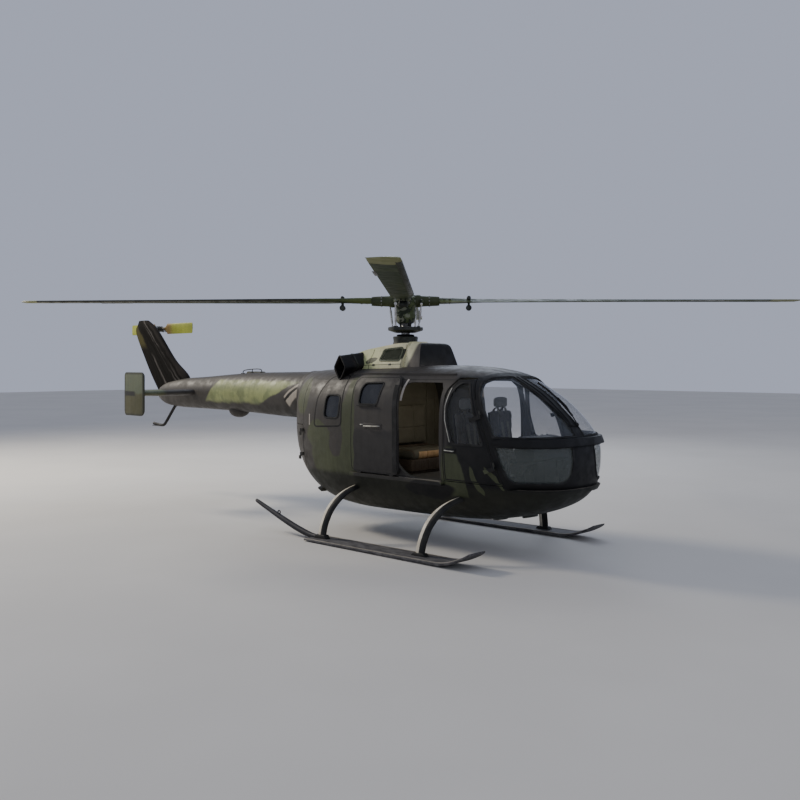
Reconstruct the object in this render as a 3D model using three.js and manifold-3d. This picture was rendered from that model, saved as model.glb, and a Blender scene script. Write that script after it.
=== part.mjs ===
// A light twin-engined helicopter on skids: an egg-shaped cabin pod, a high tail boom
// with fin and twin end plates, a rigid four-blade rotor and a two-blade tail rotor.
// Millimetres. X runs forward, Y to port and Z up. In the model's own group x = 0 is the
// datum station, a little aft of the main rotor's axis, and z = 0 the ground.

import * as THREE from 'three';
import { mergeVertices } from 'three/addons/utils/BufferGeometryUtils.js';
import Module from 'manifold-3d';

const wasm = await Module();
wasm.setup();

// Driving dimensions

const DATUM_X = 1535;
const SEAT_GAP = 0.3;
const DOOR_GAP = 8;
const DOOR_SKIN = 14;
const DOOR_REBATE = 26;
const WALL = 45;
const REACH = 900;
const TALL = 2400;

const FLOOR_Z = 795;
const ROOF_SPLIT_Z = 1800;
const NOSE_X = 1730;
const NOSE_TIP = 2900;
const REAR_X = -1120;
const PILLAR_X = 1368;
const SIDE_FRONT = 1020;
const PILLAR_HALF = 24;

const BAR_TOP_Z = 1340;
const BAR_BOTTOM_Z = 1245;
const CENTRE_POST_HALF = 75;
const CHIN_PANEL_HALF = 198;
const GLASS_DEPTH = 14;
const GLASS_THICK = 8;

const SLIDE_TRAVEL = 650;
const SLIDE_CLEAR = 8;
const SLIDE_THICK = 30;

const SHOE_LENGTH = 60;
const RAIL = { back: -100, front: 1385, low: 770, top: 810, outer: -800, inner: -765 };

const KNUCKLE_RADIUS = 11;
const KNUCKLE_LENGTH = 45;
const HINGE_PLATE = 9;
const CREW_HINGE = {
  x: 2180, y: -785, z: 800, lean: [-0.3327, 0, 0.943], heights: [200, 780], strap: [45, 30],
};
const CARGO_HINGE = { x: -1125, y: -700, z: 0, lean: [0, 0, 1], heights: [890, 1200], strap: [32, 32] };

const ROTOR_X = 93;
const ROTOR_RADIUS = 4920;
const ROTOR_CHORD = 270;
const ROTOR_Z = 2920;
const ROTOR_REST = 41.3;
const BLADE_ROOT = 430;

const TAIL_HUB = { x: -6000, y: 285, z: 2730 };
const TAIL_RADIUS = 950;
const TAIL_CHORD = 180;

const SKID_Y = 1160;
const SKI_HALF = 130;
const SKI_DEPTH = 46;
const SKI_BACK = -340;
const SKI_BEND = 1700;
const WEAR_PLATE = { half: 120, depth: 12 };
const SOLE_Z = WEAR_PLATE.depth + SEAT_GAP;
const LEG_CHORD = { foot: 120, root: 84 };
const LEG_DEPTH = 62;
const LEG_SIDES = 16;
const FRONT_LEG = { root: 1578, foot: 1400 };
const REAR_LEG = { root: -65, foot: -190 };
const LEG_ROOT_Y = 640;

// The pod's sections, from tail to nose
// Columns: station x, half width, waist height, roof height, belly height, upper and lower power

const POD_SECTIONS = [
  [-1700, 140, 1450, 1900, 1020, 2.2, 2.2],
  [-1670, 250, 1440, 1970, 920, 2.3, 2.3],
  [-1580, 378, 1420, 2010, 800, 2.5, 2.5],
  [-1400, 522, 1390, 2035, 640, 2.7, 2.7],
  [-1120, 665, 1340, 2055, 470, 2.9, 2.8],
  [-800, 750, 1310, 2070, 360, 3.1, 2.9],
  [-400, 787, 1300, 2085, 310, 3.3, 3.0],
  [300, 790, 1300, 2100, 305, 3.4, 3.0],
  [900, 790, 1300, 2110, 315, 3.4, 3.0],
  [1400, 790, 1300, 2085, 335, 3.3, 3.0],
  [1730, 785, 1290, 2025, 365, 3.2, 2.9],
  [1950, 770, 1280, 1930, 405, 3.0, 2.8],
  [2200, 735, 1250, 1790, 460, 2.9, 2.7],
  [2400, 680, 1200, 1635, 530, 2.8, 2.6],
  [2560, 590, 1150, 1490, 610, 2.7, 2.5],
  [2660, 480, 1110, 1375, 700, 2.6, 2.4],
  [2715, 340, 1070, 1270, 790, 2.5, 2.3],
  [2740, 200, 1040, 1170, 890, 2.3, 2.2],
];
const POD_POINTS = 32;

// Outlines in the side view, as x and z

const FRONT_DOOR = [[1404, 828], [1400, 1650], [1430, 1830], [1500, 1945], [1690, 1960], [1812, 1734],
  [1955, 1417], [2100, 998], [2162, 828]];
const FRONT_WINDOW = [[1530, 1242], [1448, 1500], [1442, 1660], [1470, 1800], [1540, 1900], [1662, 1908],
  [1764, 1722], [1888, 1440], [1960, 1242]];
const WINDSCREEN = [[1862, TALL], [1858, 1972], [1793, 1957], [1775, 1905], [1796, 1862], [1836, 1777],
  [1930, 1619], [2023, 1462], [2075, BAR_TOP_Z], [2900, BAR_TOP_Z], [2900, TALL]];
const CHIN_WINDOW = [[2089, BAR_BOTTOM_Z], [2170, 1028], [2228, 905], [2290, 866], [2900, 866],
  [2900, BAR_BOTTOM_Z]];
const CHIN_FRONT = [[-900, 700], [-900, 1500], [-CHIN_PANEL_HALF, 1500], [-205, 1080], [-222, 980],
  [-262, 905], [-335, 868], [-420, 700]];
const DOORWAY_BACK = 612;
const DOORWAY_FRONT = [[1300, 1915], [1344, 1850], [1344, 815]];
const SLIDE_PANEL = [[590, 830], [600, 1900], [650, 1985], [1300, 1985], [1360, 1900], [1389, 1350],
  [1382, 830]];
const SLIDE_WINDOW = [[728, 1640], [742, 1830], [790, 1893], [1108, 1902], [1040, 1640]];
const QUARTER_WINDOW = [[-600, 1450], [-570, 1738], [-295, 1738], [-310, 1450]];
const REAR_DOOR = [[-1800, 803], [-1800, 1330], [-1135, 1330], [-1135, 803]];

const AFT = new THREE.Vector3(-1, 0, 0);
const FORE = new THREE.Vector3(1, 0, 0);
const PORT = new THREE.Vector3(0, 1, 0);
const UP = new THREE.Vector3(0, 0, 1);

// Basic solids

function toSolid(geometry) {
  geometry.deleteAttribute('normal');
  geometry.deleteAttribute('uv');
  const merged = mergeVertices(geometry, 1e-3);
  let vertices = new Float32Array(merged.attributes.position.array);
  let triangles = new Uint32Array(merged.index.array);
  if (signedVolume(vertices, triangles) < 0) {
    triangles = triangles.map((_, i, all) => (i % 3 === 0 ? all[i] : all[i % 3 === 1 ? i + 1 : i - 1]));
  }
  return new wasm.Manifold(new wasm.Mesh({ numProp: 3, vertProperties: vertices, triVerts: triangles }));
}

function signedVolume(vertices, triangles) {
  const point = (i) => new THREE.Vector3().fromArray(vertices, 3 * triangles[i]);
  let volume = 0;
  for (let i = 0; i < triangles.length; i += 3) {
    volume += point(i).dot(point(i + 1).cross(point(i + 2))) / 6;
  }
  return volume;
}

function box(low, high) {
  const size = high.map((value, axis) => value - low[axis]);
  const geometry = new THREE.BoxGeometry(...size);
  geometry.translate(...low.map((value, axis) => value + size[axis] / 2));
  return toSolid(geometry);
}

// A side-view outline of x and z, pushed from y = near to y = far
function sidePrism(outline, near, far) {
  const shape = new THREE.Shape(outline.map(([x, z]) => new THREE.Vector2(x, z)));
  const geometry = new THREE.ExtrudeGeometry(shape, { depth: far - near, bevelEnabled: false });
  geometry.rotateX(Math.PI / 2);
  geometry.translate(0, far, 0);
  return toSolid(geometry);
}

// A front-view outline of y and z, pushed from x = back to x = front
function frontPrism(outline, back, front) {
  const shape = new THREE.Shape(outline.map(([y, z]) => new THREE.Vector2(y, z)));
  const geometry = new THREE.ExtrudeGeometry(shape, { depth: front - back, bevelEnabled: false });
  geometry.applyMatrix4(new THREE.Matrix4().makeBasis(
    new THREE.Vector3(0, 1, 0), new THREE.Vector3(0, 0, 1), new THREE.Vector3(1, 0, 0)));
  geometry.translate(back, 0, 0);
  return toSolid(geometry);
}

// Moves each edge of a clockwise or anticlockwise outline inwards by a distance
function inset(outline, distance) {
  const count = outline.length;
  const area = outline.reduce((sum, [x, z], i) => {
    const [nextX, nextZ] = outline[(i + 1) % count];
    return sum + x * nextZ - nextX * z;
  }, 0);
  const side = Math.sign(area) * distance;
  const edges = outline.map(([x, z], i) => {
    const [nextX, nextZ] = outline[(i + 1) % count];
    const length = Math.hypot(nextX - x, nextZ - z);
    const along = [(nextX - x) / length, (nextZ - z) / length];
    return { start: [x - along[1] * side, z + along[0] * side], along };
  });
  return edges.map((edge, i) => {
    const before = edges[(i + count - 1) % count];
    const cross = before.along[0] * edge.along[1] - before.along[1] * edge.along[0];
    const gap = [edge.start[0] - before.start[0], edge.start[1] - before.start[1]];
    const reach = (gap[0] * edge.along[1] - gap[1] * edge.along[0]) / cross;
    return [before.start[0] + before.along[0] * reach, before.start[1] + before.along[1] * reach];
  });
}

// Rounds every corner of an outline
function rounded(outline, radius, steps = 4) {
  const count = outline.length;
  const path = new THREE.Path();
  outline.forEach(([x, z], i) => {
    const corner = new THREE.Vector2(x, z);
    const before = new THREE.Vector2(...outline[(i + count - 1) % count]);
    const after = new THREE.Vector2(...outline[(i + 1) % count]);
    const cut = Math.min(radius, corner.distanceTo(before) / 2.1, corner.distanceTo(after) / 2.1);
    const enter = corner.clone().lerp(before, cut / corner.distanceTo(before));
    const leave = corner.clone().lerp(after, cut / corner.distanceTo(after));
    if (i === 0) path.moveTo(enter.x, enter.y);
    else path.lineTo(enter.x, enter.y);
    path.quadraticCurveTo(corner.x, corner.y, leave.x, leave.y);
  });
  return path.getPoints(steps).map((point) => [point.x, point.y]);
}

// Joins rings of points, all with the same count, into a closed skin with flat ends
function loftGeometry(rings) {
  const count = rings[0].length;
  const points = rings.flat();
  const index = [];
  for (let ring = 0; ring + 1 < rings.length; ring += 1) {
    for (let i = 0; i < count; i += 1) {
      const next = (i + 1) % count;
      const here = ring * count;
      const there = here + count;
      index.push(here + i, here + next, there + i, here + next, there + next, there + i);
    }
  }
  [0, rings.length - 1].forEach((ring, end) => {
    const centre = rings[ring].reduce((sum, point) => sum.add(point), new THREE.Vector3());
    points.push(centre.divideScalar(count));
    for (let i = 0; i < count; i += 1) {
      const pair = [ring * count + i, ring * count + ((i + 1) % count)];
      if (end === 0) pair.reverse();
      index.push(points.length - 1, ...pair);
    }
  });
  const geometry = new THREE.BufferGeometry().setFromPoints(points);
  geometry.setIndex(index);
  return geometry;
}

function loft(rings) {
  return toSolid(loftGeometry(rings));
}

// A round bar of one radius along a smooth curve through points, with an even number of sides
function tube(points, radius, steps, sides = 12) {
  const path = new THREE.CatmullRomCurve3(points.map((point) => new THREE.Vector3(...point)));
  const section = new THREE.Shape();
  section.absarc(0, 0, radius, 0, 2 * Math.PI);
  const options = { steps, extrudePath: path, bevelEnabled: false, curveSegments: sides / 2 };
  return toSolid(new THREE.ExtrudeGeometry(section, options));
}

// A solid of revolution about a vertical axis through x, y: rows of radius and height
function turned(x, y, profile, sides = 24) {
  const geometry = new THREE.LatheGeometry(profile.map(([r, z]) => new THREE.Vector2(r, z)), sides);
  geometry.rotateX(Math.PI / 2);
  geometry.translate(x, y, 0);
  return toSolid(geometry);
}

// Points round a unit circle
function ellipse(count) {
  return Array.from({ length: count }, (_, i) => {
    const angle = (2 * Math.PI * i) / count;
    return [Math.cos(angle), Math.sin(angle)];
  });
}

function union(...solids) {
  return solids.reduce((whole, next) => whole.add(next));
}

// Drops the crumbs that a cut can leave
function largest(solid) {
  return solid.decompose().reduce((best, part) => (part.volume() > best.volume() ? part : best));
}

function mirrored(outlineSolid) {
  return outlineSolid.mirror([0, 1, 0]);
}

// The pod

function podRing([x, half, waist, roof, belly, upper, lower]) {
  return Array.from({ length: POD_POINTS }, (_, i) => {
    const angle = (2 * Math.PI * i) / POD_POINTS;
    const sine = Math.sin(angle);
    const power = 2 / (sine >= 0 ? upper : lower);
    const tall = sine >= 0 ? roof - waist : waist - belly;
    const across = Math.sign(Math.cos(angle)) * Math.abs(Math.cos(angle)) ** power;
    return new THREE.Vector3(x, half * across, waist + tall * Math.sign(sine) * Math.abs(sine) ** power);
  });
}

// The pod's skin, moved inwards by a depth along its own normals
function pod(depth) {
  const geometry = loftGeometry(POD_SECTIONS.map(podRing));
  geometry.computeVertexNormals();
  const { position, normal } = geometry.attributes;
  for (let i = 0; i < position.count; i += 1) {
    position.setXYZ(i, position.getX(i) - depth * normal.getX(i),
      position.getY(i) - depth * normal.getY(i), position.getZ(i) - depth * normal.getZ(i));
  }
  return toSolid(geometry);
}

const podOuter = pod(0);
const podGrown = pod(-SEAT_GAP);
const podShell = podOuter.subtract(pod(WALL)).intersect(box([-2000, -REACH, FLOOR_Z + SEAT_GAP],
  [3000, REACH, TALL]));
const podGlass = pod(GLASS_DEPTH).subtract(pod(GLASS_DEPTH + GLASS_THICK));

// Starboard is y below zero: each cutter reaches from a plane inside the cabin to open air
const starboard = (outline, inner = -300) => sidePrism(outline, -REACH, inner);

const frontDoorHole = starboard(inset(FRONT_DOOR, -DOOR_GAP));
// The door's top rear corner swings inwards a little, so the roof stands back from it there
const cornerRelief = starboard([[1384, 1760], [1404, 1842], [1482, 1972], [1590, 1976], [1688, 1969],
  [1688, 1900], [1440, 1760]]);
// The doorway's two rear corners are wide arcs
function arc([centreX, centreZ], radius, from, to, steps) {
  return Array.from({ length: steps + 1 }, (_, i) => {
    const angle = THREE.MathUtils.degToRad(from + ((to - from) * i) / steps);
    return [centreX + radius * Math.cos(angle), centreZ + radius * Math.sin(angle)];
  });
}

const SILL_Z = 815;
const HEAD_Z = 1915;
const LOW_ARC = 380;
const HIGH_ARC = 260;
const doorway = starboard([...arc([DOORWAY_BACK + LOW_ARC, SILL_Z + LOW_ARC], LOW_ARC, 270, 180, 8),
  ...arc([DOORWAY_BACK + HIGH_ARC, HEAD_Z - HIGH_ARC], HIGH_ARC, 180, 90, 6), ...DOORWAY_FRONT]);
const sideWallZone = starboard([[REAR_X + SEAT_GAP, 0], [REAR_X + SEAT_GAP, ROOF_SPLIT_Z],
  [SIDE_FRONT, ROOF_SPLIT_Z], [SIDE_FRONT, 0]], 0);
const NOSE_PLAN = [[NOSE_X, TALL], [NOSE_X, 1990], ...FRONT_DOOR.slice(4), [2162, 0],
  [3000, 0], [3000, TALL]];

function roofShell() {
  const zone = sidePrism([[REAR_X + SEAT_GAP, ROOF_SPLIT_Z + SEAT_GAP],
    [PILLAR_X - PILLAR_HALF, ROOF_SPLIT_Z + SEAT_GAP],
    [PILLAR_X - PILLAR_HALF, 0], [PILLAR_X + PILLAR_HALF, 0],
    [PILLAR_X + PILLAR_HALF, ROOF_SPLIT_Z], [NOSE_X, ROOF_SPLIT_Z], [NOSE_X, TALL],
    [REAR_X + SEAT_GAP, TALL]], -REACH, REACH);
  const cuts = union(frontDoorHole, cornerRelief, doorway);
  const nose = sidePrism(inset(NOSE_PLAN, -SEAT_GAP), -REACH, REACH);
  return podShell.intersect(zone).subtract(cuts).subtract(mirrored(cuts)).subtract(nose);
}

function sideWall() {
  return podShell.intersect(sideWallZone).subtract(union(doorway, starboard(rounded(QUARTER_WINDOW, 70))));
}

function rearShell() {
  const zone = box([-2000, -REACH, 0], [REAR_X, REACH, TALL]);
  const doors = sidePrism(inset(REAR_DOOR, -DOOR_GAP), -REACH, REACH);
  return podShell.intersect(zone).subtract(doors);
}

function rearDoor() {
  return podShell.intersect(sidePrism(REAR_DOOR, -REACH, -DOOR_GAP / 2));
}

// Proud strips on the skin: one over the nose's cross bar, one along the top of the belly and
// a lip under the tail end
const STRIP_PROUD = 38;
const LIP_PROUD = 50;

function proudStrip(outline, proud) {
  return pod(-proud).intersect(sidePrism(outline, -REACH, REACH));
}

function noseStrip(low, high, back) {
  return proudStrip([[back, low], [NOSE_TIP, low], [NOSE_TIP, high], [back, high],
    [back - 120, (low + high) / 2]], STRIP_PROUD);
}

function rearLip() {
  return proudStrip([[-2000, 456], [-2000, 490], [-1060, 490], [-880, 473], [-1060, 456]], LIP_PROUD);
}

// The chin window's outline in the side view and its rounded inner edge in the front view
function chinHole(shrink) {
  const edge = frontPrism(inset(CHIN_FRONT, shrink), 1900, NOSE_TIP);
  return starboard(inset(CHIN_WINDOW, shrink), 0).intersect(edge);
}

function noseFrame() {
  const cuts = union(starboard(WINDSCREEN, -CENTRE_POST_HALF), chinHole(0), frontDoorHole);
  const nose = podShell.intersect(sidePrism(NOSE_PLAN, -REACH, REACH));
  const frame = nose.subtract(cuts).subtract(mirrored(cuts));
  const strip = noseStrip(BAR_BOTTOM_Z + 8, BAR_TOP_Z - 8, 2200).subtract(pod(GLASS_DEPTH));
  return largest(union(frame, strip));
}

function pane(outline, inner) {
  return podGlass.intersect(starboard(inset(outline, SEAT_GAP), inner - SEAT_GAP));
}

// A skin the size of the doorway over a smaller inner frame, so that its edge swings out past the jamb
function frontDoor() {
  const skin = podOuter.subtract(pod(DOOR_SKIN)).intersect(starboard(FRONT_DOOR));
  const frame = pod(DOOR_SKIN - 1).subtract(pod(WALL)).intersect(starboard(inset(FRONT_DOOR, DOOR_REBATE)));
  return union(skin, frame).subtract(starboard(rounded(FRONT_WINDOW, 50)));
}

// The rail under the doorway, which the sliding door's shoes run on
function slideRail() {
  const { back, front, low, top, outer, inner } = RAIL;
  return union(box([back, outer, low], [front, inner, top]),
    box([back, outer, low], [front, inner + 60, FLOOR_Z]));
}

function lowerHull() {
  const belly = podOuter.intersect(box([-2000, -REACH, 0], [3000, REACH, FLOOR_Z]));
  const rim = noseStrip(FLOOR_Z - 46, FLOOR_Z, 2330);
  const base = union(belly, rim, slideRail(), mirrored(slideRail()), rearLip());
  return base.subtract(crossTube(FRONT_LEG, SEAT_GAP)).subtract(crossTube(REAR_LEG, SEAT_GAP));
}

// The sliding door runs outside the skin, so its panel follows the pod's widest section
function slideSkin(depth) {
  const widest = POD_SECTIONS[8];
  const [, half, waist, roof, belly, upper, lower] = widest;
  const grown = [half + depth, waist, roof + depth, belly - depth, upper, lower];
  return loft([-400, 1500].map((x) => podRing([x, ...grown])));
}

function slidingDoor() {
  const skin = slideSkin(SLIDE_CLEAR + SLIDE_THICK).subtract(slideSkin(SLIDE_CLEAR));
  const panel = skin.intersect(starboard(rounded(SLIDE_PANEL, 80), -450));
  const shoes = [690, 1230].map((x) => (
    box([x, RAIL.outer + 3, RAIL.top + SEAT_GAP], [x + SHOE_LENGTH, RAIL.inner - 5, RAIL.top + 40])));
  const whole = union(panel, ...shoes).subtract(starboard(rounded(SLIDE_WINDOW, 45)));
  return whole.translate([-SLIDE_TRAVEL, 0, 0]);
}

function slidingPane() {
  const middle = SLIDE_CLEAR + SLIDE_THICK / 2;
  const skin = slideSkin(middle + GLASS_THICK / 2).subtract(slideSkin(middle - GLASS_THICK / 2));
  const outline = inset(rounded(SLIDE_WINDOW, 45), SEAT_GAP);
  return skin.intersect(starboard(outline)).translate([-SLIDE_TRAVEL, 0, 0]);
}

// Hinges: on each height along the leaning axis the door's knuckle has the fixed one right above it
// strap[0] is how far aft of the axis the door's plate lands, strap[1] how far ahead of it the fixed one does

const podUnderSkin = pod(10);

function rectangle(left, right, low, high) {
  const corners = [[left, low], [right, low], [right, high], [left, high]];
  return new THREE.Shape(corners.map((corner) => new THREE.Vector2(...corner)));
}

function hingeHalf({ x, y, z, lean, strap }, height, onDoor) {
  const reach = onDoor ? -strap[0] : strap[1];
  const arm = rectangle(Math.min(reach, 0) - HINGE_PLATE, Math.max(reach, 0) + HINGE_PLATE, -HINGE_PLATE,
    HINGE_PLATE);
  const foot = rectangle(reach - HINGE_PLATE, reach + HINGE_PLATE, 0, 200);
  const knuckle = new THREE.Shape();
  knuckle.absarc(0, 0, KNUCKLE_RADIUS, 0, 2 * Math.PI);
  const axis = new THREE.Vector3(...lean);
  const ahead = PORT.clone().cross(axis);
  const start = height + (onDoor ? 0 : KNUCKLE_LENGTH + SEAT_GAP);
  const turn = new THREE.Matrix4().makeBasis(ahead, PORT, axis);
  turn.setPosition(new THREE.Vector3(x, y, z).addScaledVector(axis, start));
  const parts = [arm, foot, knuckle].map((shape) => {
    const options = { depth: KNUCKLE_LENGTH, bevelEnabled: false, curveSegments: 5 };
    return toSolid(new THREE.ExtrudeGeometry(shape, options).applyMatrix4(turn));
  });
  return union(...parts).subtract(podUnderSkin);
}

function hingeHalves(hinge, onDoor) {
  return union(...hinge.heights.map((height) => hingeHalf(hinge, height, onDoor)));
}

// Upper deck: cowlings, engines, gearbox and exhausts

const COWL_SIDE = [[392, 1900], [392, 2385], [240, 2385], [-330, 2305], [-540, 2230], [-660, 2120],
  [-700, 1900]];
const COWL_FRONT = [[-430, 1900], [-400, 2150], [-310, 2270], [-270, 2400], [270, 2400], [310, 2270],
  [400, 2150], [430, 1900]];
const FAIRING_SIDE = [[392.3, 1900], [392.3, 2385], [600, 2385], [660, 2100], [680, 1900]];
const FAIRING_FRONT = [[-400, 1900], [-360, 2110], [-270, 2385], [270, 2385], [360, 2110], [400, 1900]];
const COWL_WALL = 25;

function deckShell(side, front, back, fore, wall) {
  const [low, high] = [back - 1, fore + 1];
  const outer = sidePrism(side, -REACH, REACH).intersect(frontPrism(front, low, high));
  const hollow = sidePrism(inset(side, wall), -REACH, REACH);
  const inner = hollow.intersect(frontPrism(inset(front, wall), low, high));
  const bottom = hollow.intersect(box([back + wall, -300, 1800], [fore - wall, 300, 2200]));
  return outer.subtract(union(inner, bottom));
}

const COWL_BACK = -700;
const MAST_HOLE = 75;
const mastHole = turned(ROTOR_X, 0, [[0, 2000], [MAST_HOLE, 2000], [MAST_HOLE, 2600], [0, 2600]]);
const cowlBlock = sidePrism(inset(COWL_SIDE, -SEAT_GAP), -REACH, REACH)
  .intersect(frontPrism(inset(COWL_FRONT, -SEAT_GAP), COWL_BACK - 5, 400));

function engineCowling() {
  return deckShell(COWL_SIDE, COWL_FRONT, COWL_BACK, 392, COWL_WALL).subtract(podGrown).subtract(mastHole);
}

function gearboxFairing() {
  return deckShell(FAIRING_SIDE, FAIRING_FRONT, 392.3, 680, COWL_WALL).subtract(podGrown);
}

function engineBlock() {
  return box([-500, -240, 1950], [-140, 240, 2185]).subtract(podGrown);
}

const GEARBOX_TOP = 2290;

function mainGearbox() {
  return box([-60, -170, 1950], [320, 170, GEARBOX_TOP]).subtract(podGrown);
}

// Each exhaust is a square duct stood on its corner, which leaves the cowling outwards and
// a little to the rear
const EXHAUST_ROUTE = [[-330, -150, 2150], [-385, -400, 2105], [-440, -640, 2078]];
const EXHAUST_HALF = 150;
const EXHAUST_WALL = 12;

function exhaustDuct(half, mouth) {
  return loft(EXHAUST_ROUTE.map(([x, y, z], step) => {
    const reach = step === EXHAUST_ROUTE.length - 1 ? y - mouth : y;
    return rounded([[0, half * 1.15], [half, 0], [0, -half * 1.15], [-half, 0]], half / 3, 2)
      .map(([along, up]) => new THREE.Vector3(x + along, reach - along * 0.25, z + up));
  }));
}

function exhaust() {
  const closedEnd = box([-1000, -330, 1800], [0, 0, 2500]);
  const hollow = exhaustDuct(EXHAUST_HALF - EXHAUST_WALL, 30).subtract(closedEnd);
  const surroundings = union(podGrown, mirrored(podGrown), cowlBlock);
  return exhaustDuct(EXHAUST_HALF, 0).subtract(hollow).subtract(surroundings);
}

function mastCollar() {
  const profile = [[MAST_HOLE, 2300], [MAST_HOLE, 2470], [160, 2470], [150, 2400], [190, 2300],
    [MAST_HOLE, 2300]];
  return turned(ROTOR_X, 0, profile).subtract(cowlBlock);
}

// Tail

// Columns: station x, half width, half height, centre height
const BOOM_SECTIONS = [
  [-1450, 330, 330, 1690],
  [-2150, 300, 320, 1690],
  [-3120, 265, 293, 1696],
  [-4200, 225, 252, 1672],
  [-4900, 195, 228, 1655],
  [-5300, 150, 180, 1640],
  [-5520, 70, 110, 1640],
];
const BOOM_WALL = 30;

function boomSkin(depth) {
  return loft(BOOM_SECTIONS.map(([x, half, tall, centre]) => ellipse(20).map(([across, up]) => (
    new THREE.Vector3(x, (half - depth) * across, centre + (tall - depth) * up)))));
}

const boomGrown = boomSkin(-SEAT_GAP);

// A symmetrical aerofoil from its leading edge at 0 back to its chord: rows of place and half thickness
const AEROFOIL = [[0, 0], [0.05, 0.3], [0.25, 0.5], [0.5, 0.44], [0.8, 0.2], [1, 0.04]];

// A ring in the plane across the span: along is the chord's way, up is the thickness's way
function aerofoilRing(lead, chord, thick, along, up) {
  const edge = (side) => ([place, half]) => lead.clone().addScaledVector(along, place * chord)
    .addScaledVector(up, side * half * thick);
  return [...AEROFOIL.map(edge(1)), ...AEROFOIL.slice(1).reverse().map(edge(-1))];
}

// Columns: height, leading edge x, chord, thickness
const FIN_SECTIONS = [
  [1560, -4950, 560, 120],
  [1880, -4700, 1090, 150],
  [2190, -5120, 905, 140],
  [2690, -5650, 690, 125],
  [2800, -5820, 460, 115],
  [2870, -5960, 280, 80],
];

function finSkin(grow) {
  return loft(FIN_SECTIONS.map(([z, x, chord, thick]) => (
    aerofoilRing(new THREE.Vector3(x + grow, 0, z), chord + 2 * grow, thick + 3 * grow, AFT, PORT))));
}

function fin() {
  return finSkin(0).subtract(boomGrown);
}

const STABILISER = { x: -4240, z: 1684, chord: 420, thick: 56, half: 1140 };
const END_PLATE = [[-4180, 1400], [-4180, 1960], [-4230, 2000], [-4690, 2000], [-4720, 1960], [-4720, 1400],
  [-4690, 1344], [-4240, 1344]];
const END_PLATE_THICK = 28;

function stabiliserWing(grow) {
  const { x, z, chord, thick, half } = STABILISER;
  const ring = (y) => (
    aerofoilRing(new THREE.Vector3(x + grow, y, z), chord + 2 * grow, thick + 3 * grow, AFT, UP));
  return loft([ring(-half), ring(half)]);
}

function stabiliser() {
  const { half } = STABILISER;
  const plate = sidePrism(END_PLATE, half - 2, half - 2 + END_PLATE_THICK);
  return union(stabiliserWing(0), plate, mirrored(plate));
}

// A shallow aerial dome under the boom
function dome() {
  const rings = [[0, 4], [35, 60], [110, 112], [210, 130], [310, 112], [385, 60], [420, 4]];
  return loft(rings.map(([along, size]) => ellipse(16).map(([across, up]) => (
    new THREE.Vector3(-3590 + along, size * across, 1425 + size * 0.85 * up)))));
}

function tailBoom() {
  const hollow = boomSkin(BOOM_WALL).intersect(box([-4000, -500, 1000], [0, 500, 2200]));
  const skin = union(boomSkin(0), dome());
  return skin.subtract(hollow).subtract(podGrown).subtract(stabiliserWing(SEAT_GAP));
}

function tailGearbox() {
  const barrel = tube([[TAIL_HUB.x, 0, TAIL_HUB.z], [TAIL_HUB.x, TAIL_HUB.y - 55, TAIL_HUB.z]], 62, 1, 16);
  return barrel.subtract(finSkin(SEAT_GAP));
}

function tailBumper() {
  const route = [[-5050, 0, 1520], [-5230, 0, 1290], [-5400, 0, 1135], [-5560, 0, 1100], [-5770, 0, 1120]];
  return tube(route, 22, 9, 8).subtract(boomGrown);
}

// Rotors

// The main rotor's pieces are drawn about the origin and turned to their place at rest
function onMast(solid, quarter = 0) {
  return solid.rotate([0, 0, 90 * quarter + ROTOR_REST]).translate([ROTOR_X, 0, 0]);
}

const HEAD_LOW = 2640;

function rotorMast() {
  const [foot, head] = [GEARBOX_TOP + SEAT_GAP, HEAD_LOW - SEAT_GAP];
  return onMast(turned(0, 0, [[0, foot], [52, foot], [52, head], [0, head]], 20));
}

const HORN_RADIUS = 205;
const HORN_REACH = 118;
const HORN_HALF = 24;
const LINK_RADIUS = 13;
const STAR_LOW = 2520;
const STAR_TOP = 2590;
const STAR_RADIUS = 222;

function rotorHub() {
  const profile = [[0, HEAD_LOW], [88, HEAD_LOW], [104, 2700], [98, 2810], [150, 2862], [150, 2960],
    [110, 2995], [60, 3040], [0, 3040]];
  const sleeve = tube([[60, 0, ROTOR_Z], [BLADE_ROOT - SEAT_GAP, 0, ROTOR_Z]], 62, 1, 14);
  const horn = box([HORN_RADIUS - HORN_HALF, -HORN_REACH - HORN_HALF, ROTOR_Z - 20],
    [HORN_RADIUS + HORN_HALF, 0, ROTOR_Z + 10]);
  const arm = union(sleeve, horn);
  return union(turned(0, 0, profile), ...[0, 1, 2, 3].map((quarter) => arm.rotate([0, 0, 90 * quarter])));
}

function swashplate() {
  const ring = turned(0, 0, [[56, STAR_LOW], [56, STAR_TOP], [STAR_RADIUS, STAR_TOP], [STAR_RADIUS, 2550],
    [130, STAR_LOW], [56, STAR_LOW]]);
  const foot = [168, -HORN_REACH, STAR_TOP - 20];
  const head = [HORN_RADIUS, -HORN_REACH, ROTOR_Z];
  const headroom = box([-600, -600, 2000], [600, 600, ROTOR_Z - 20 - SEAT_GAP]);
  const link = tube([foot, head], LINK_RADIUS, 1, 8).intersect(headroom);
  return union(ring, ...[0, 1, 2, 3].map((quarter) => link.rotate([0, 0, 90 * quarter])));
}

// Columns: share of the radius, chord, thickness, pitch in degrees
const BLADE_SECTIONS = [
  [BLADE_ROOT / ROTOR_RADIUS, 150, 60, 9],
  [0.17, 200, 40, 8],
  [0.2, ROTOR_CHORD, 34, 8],
  [0.6, ROTOR_CHORD, 34, 4],
  [1, ROTOR_CHORD, 32, 0],
];

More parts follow.
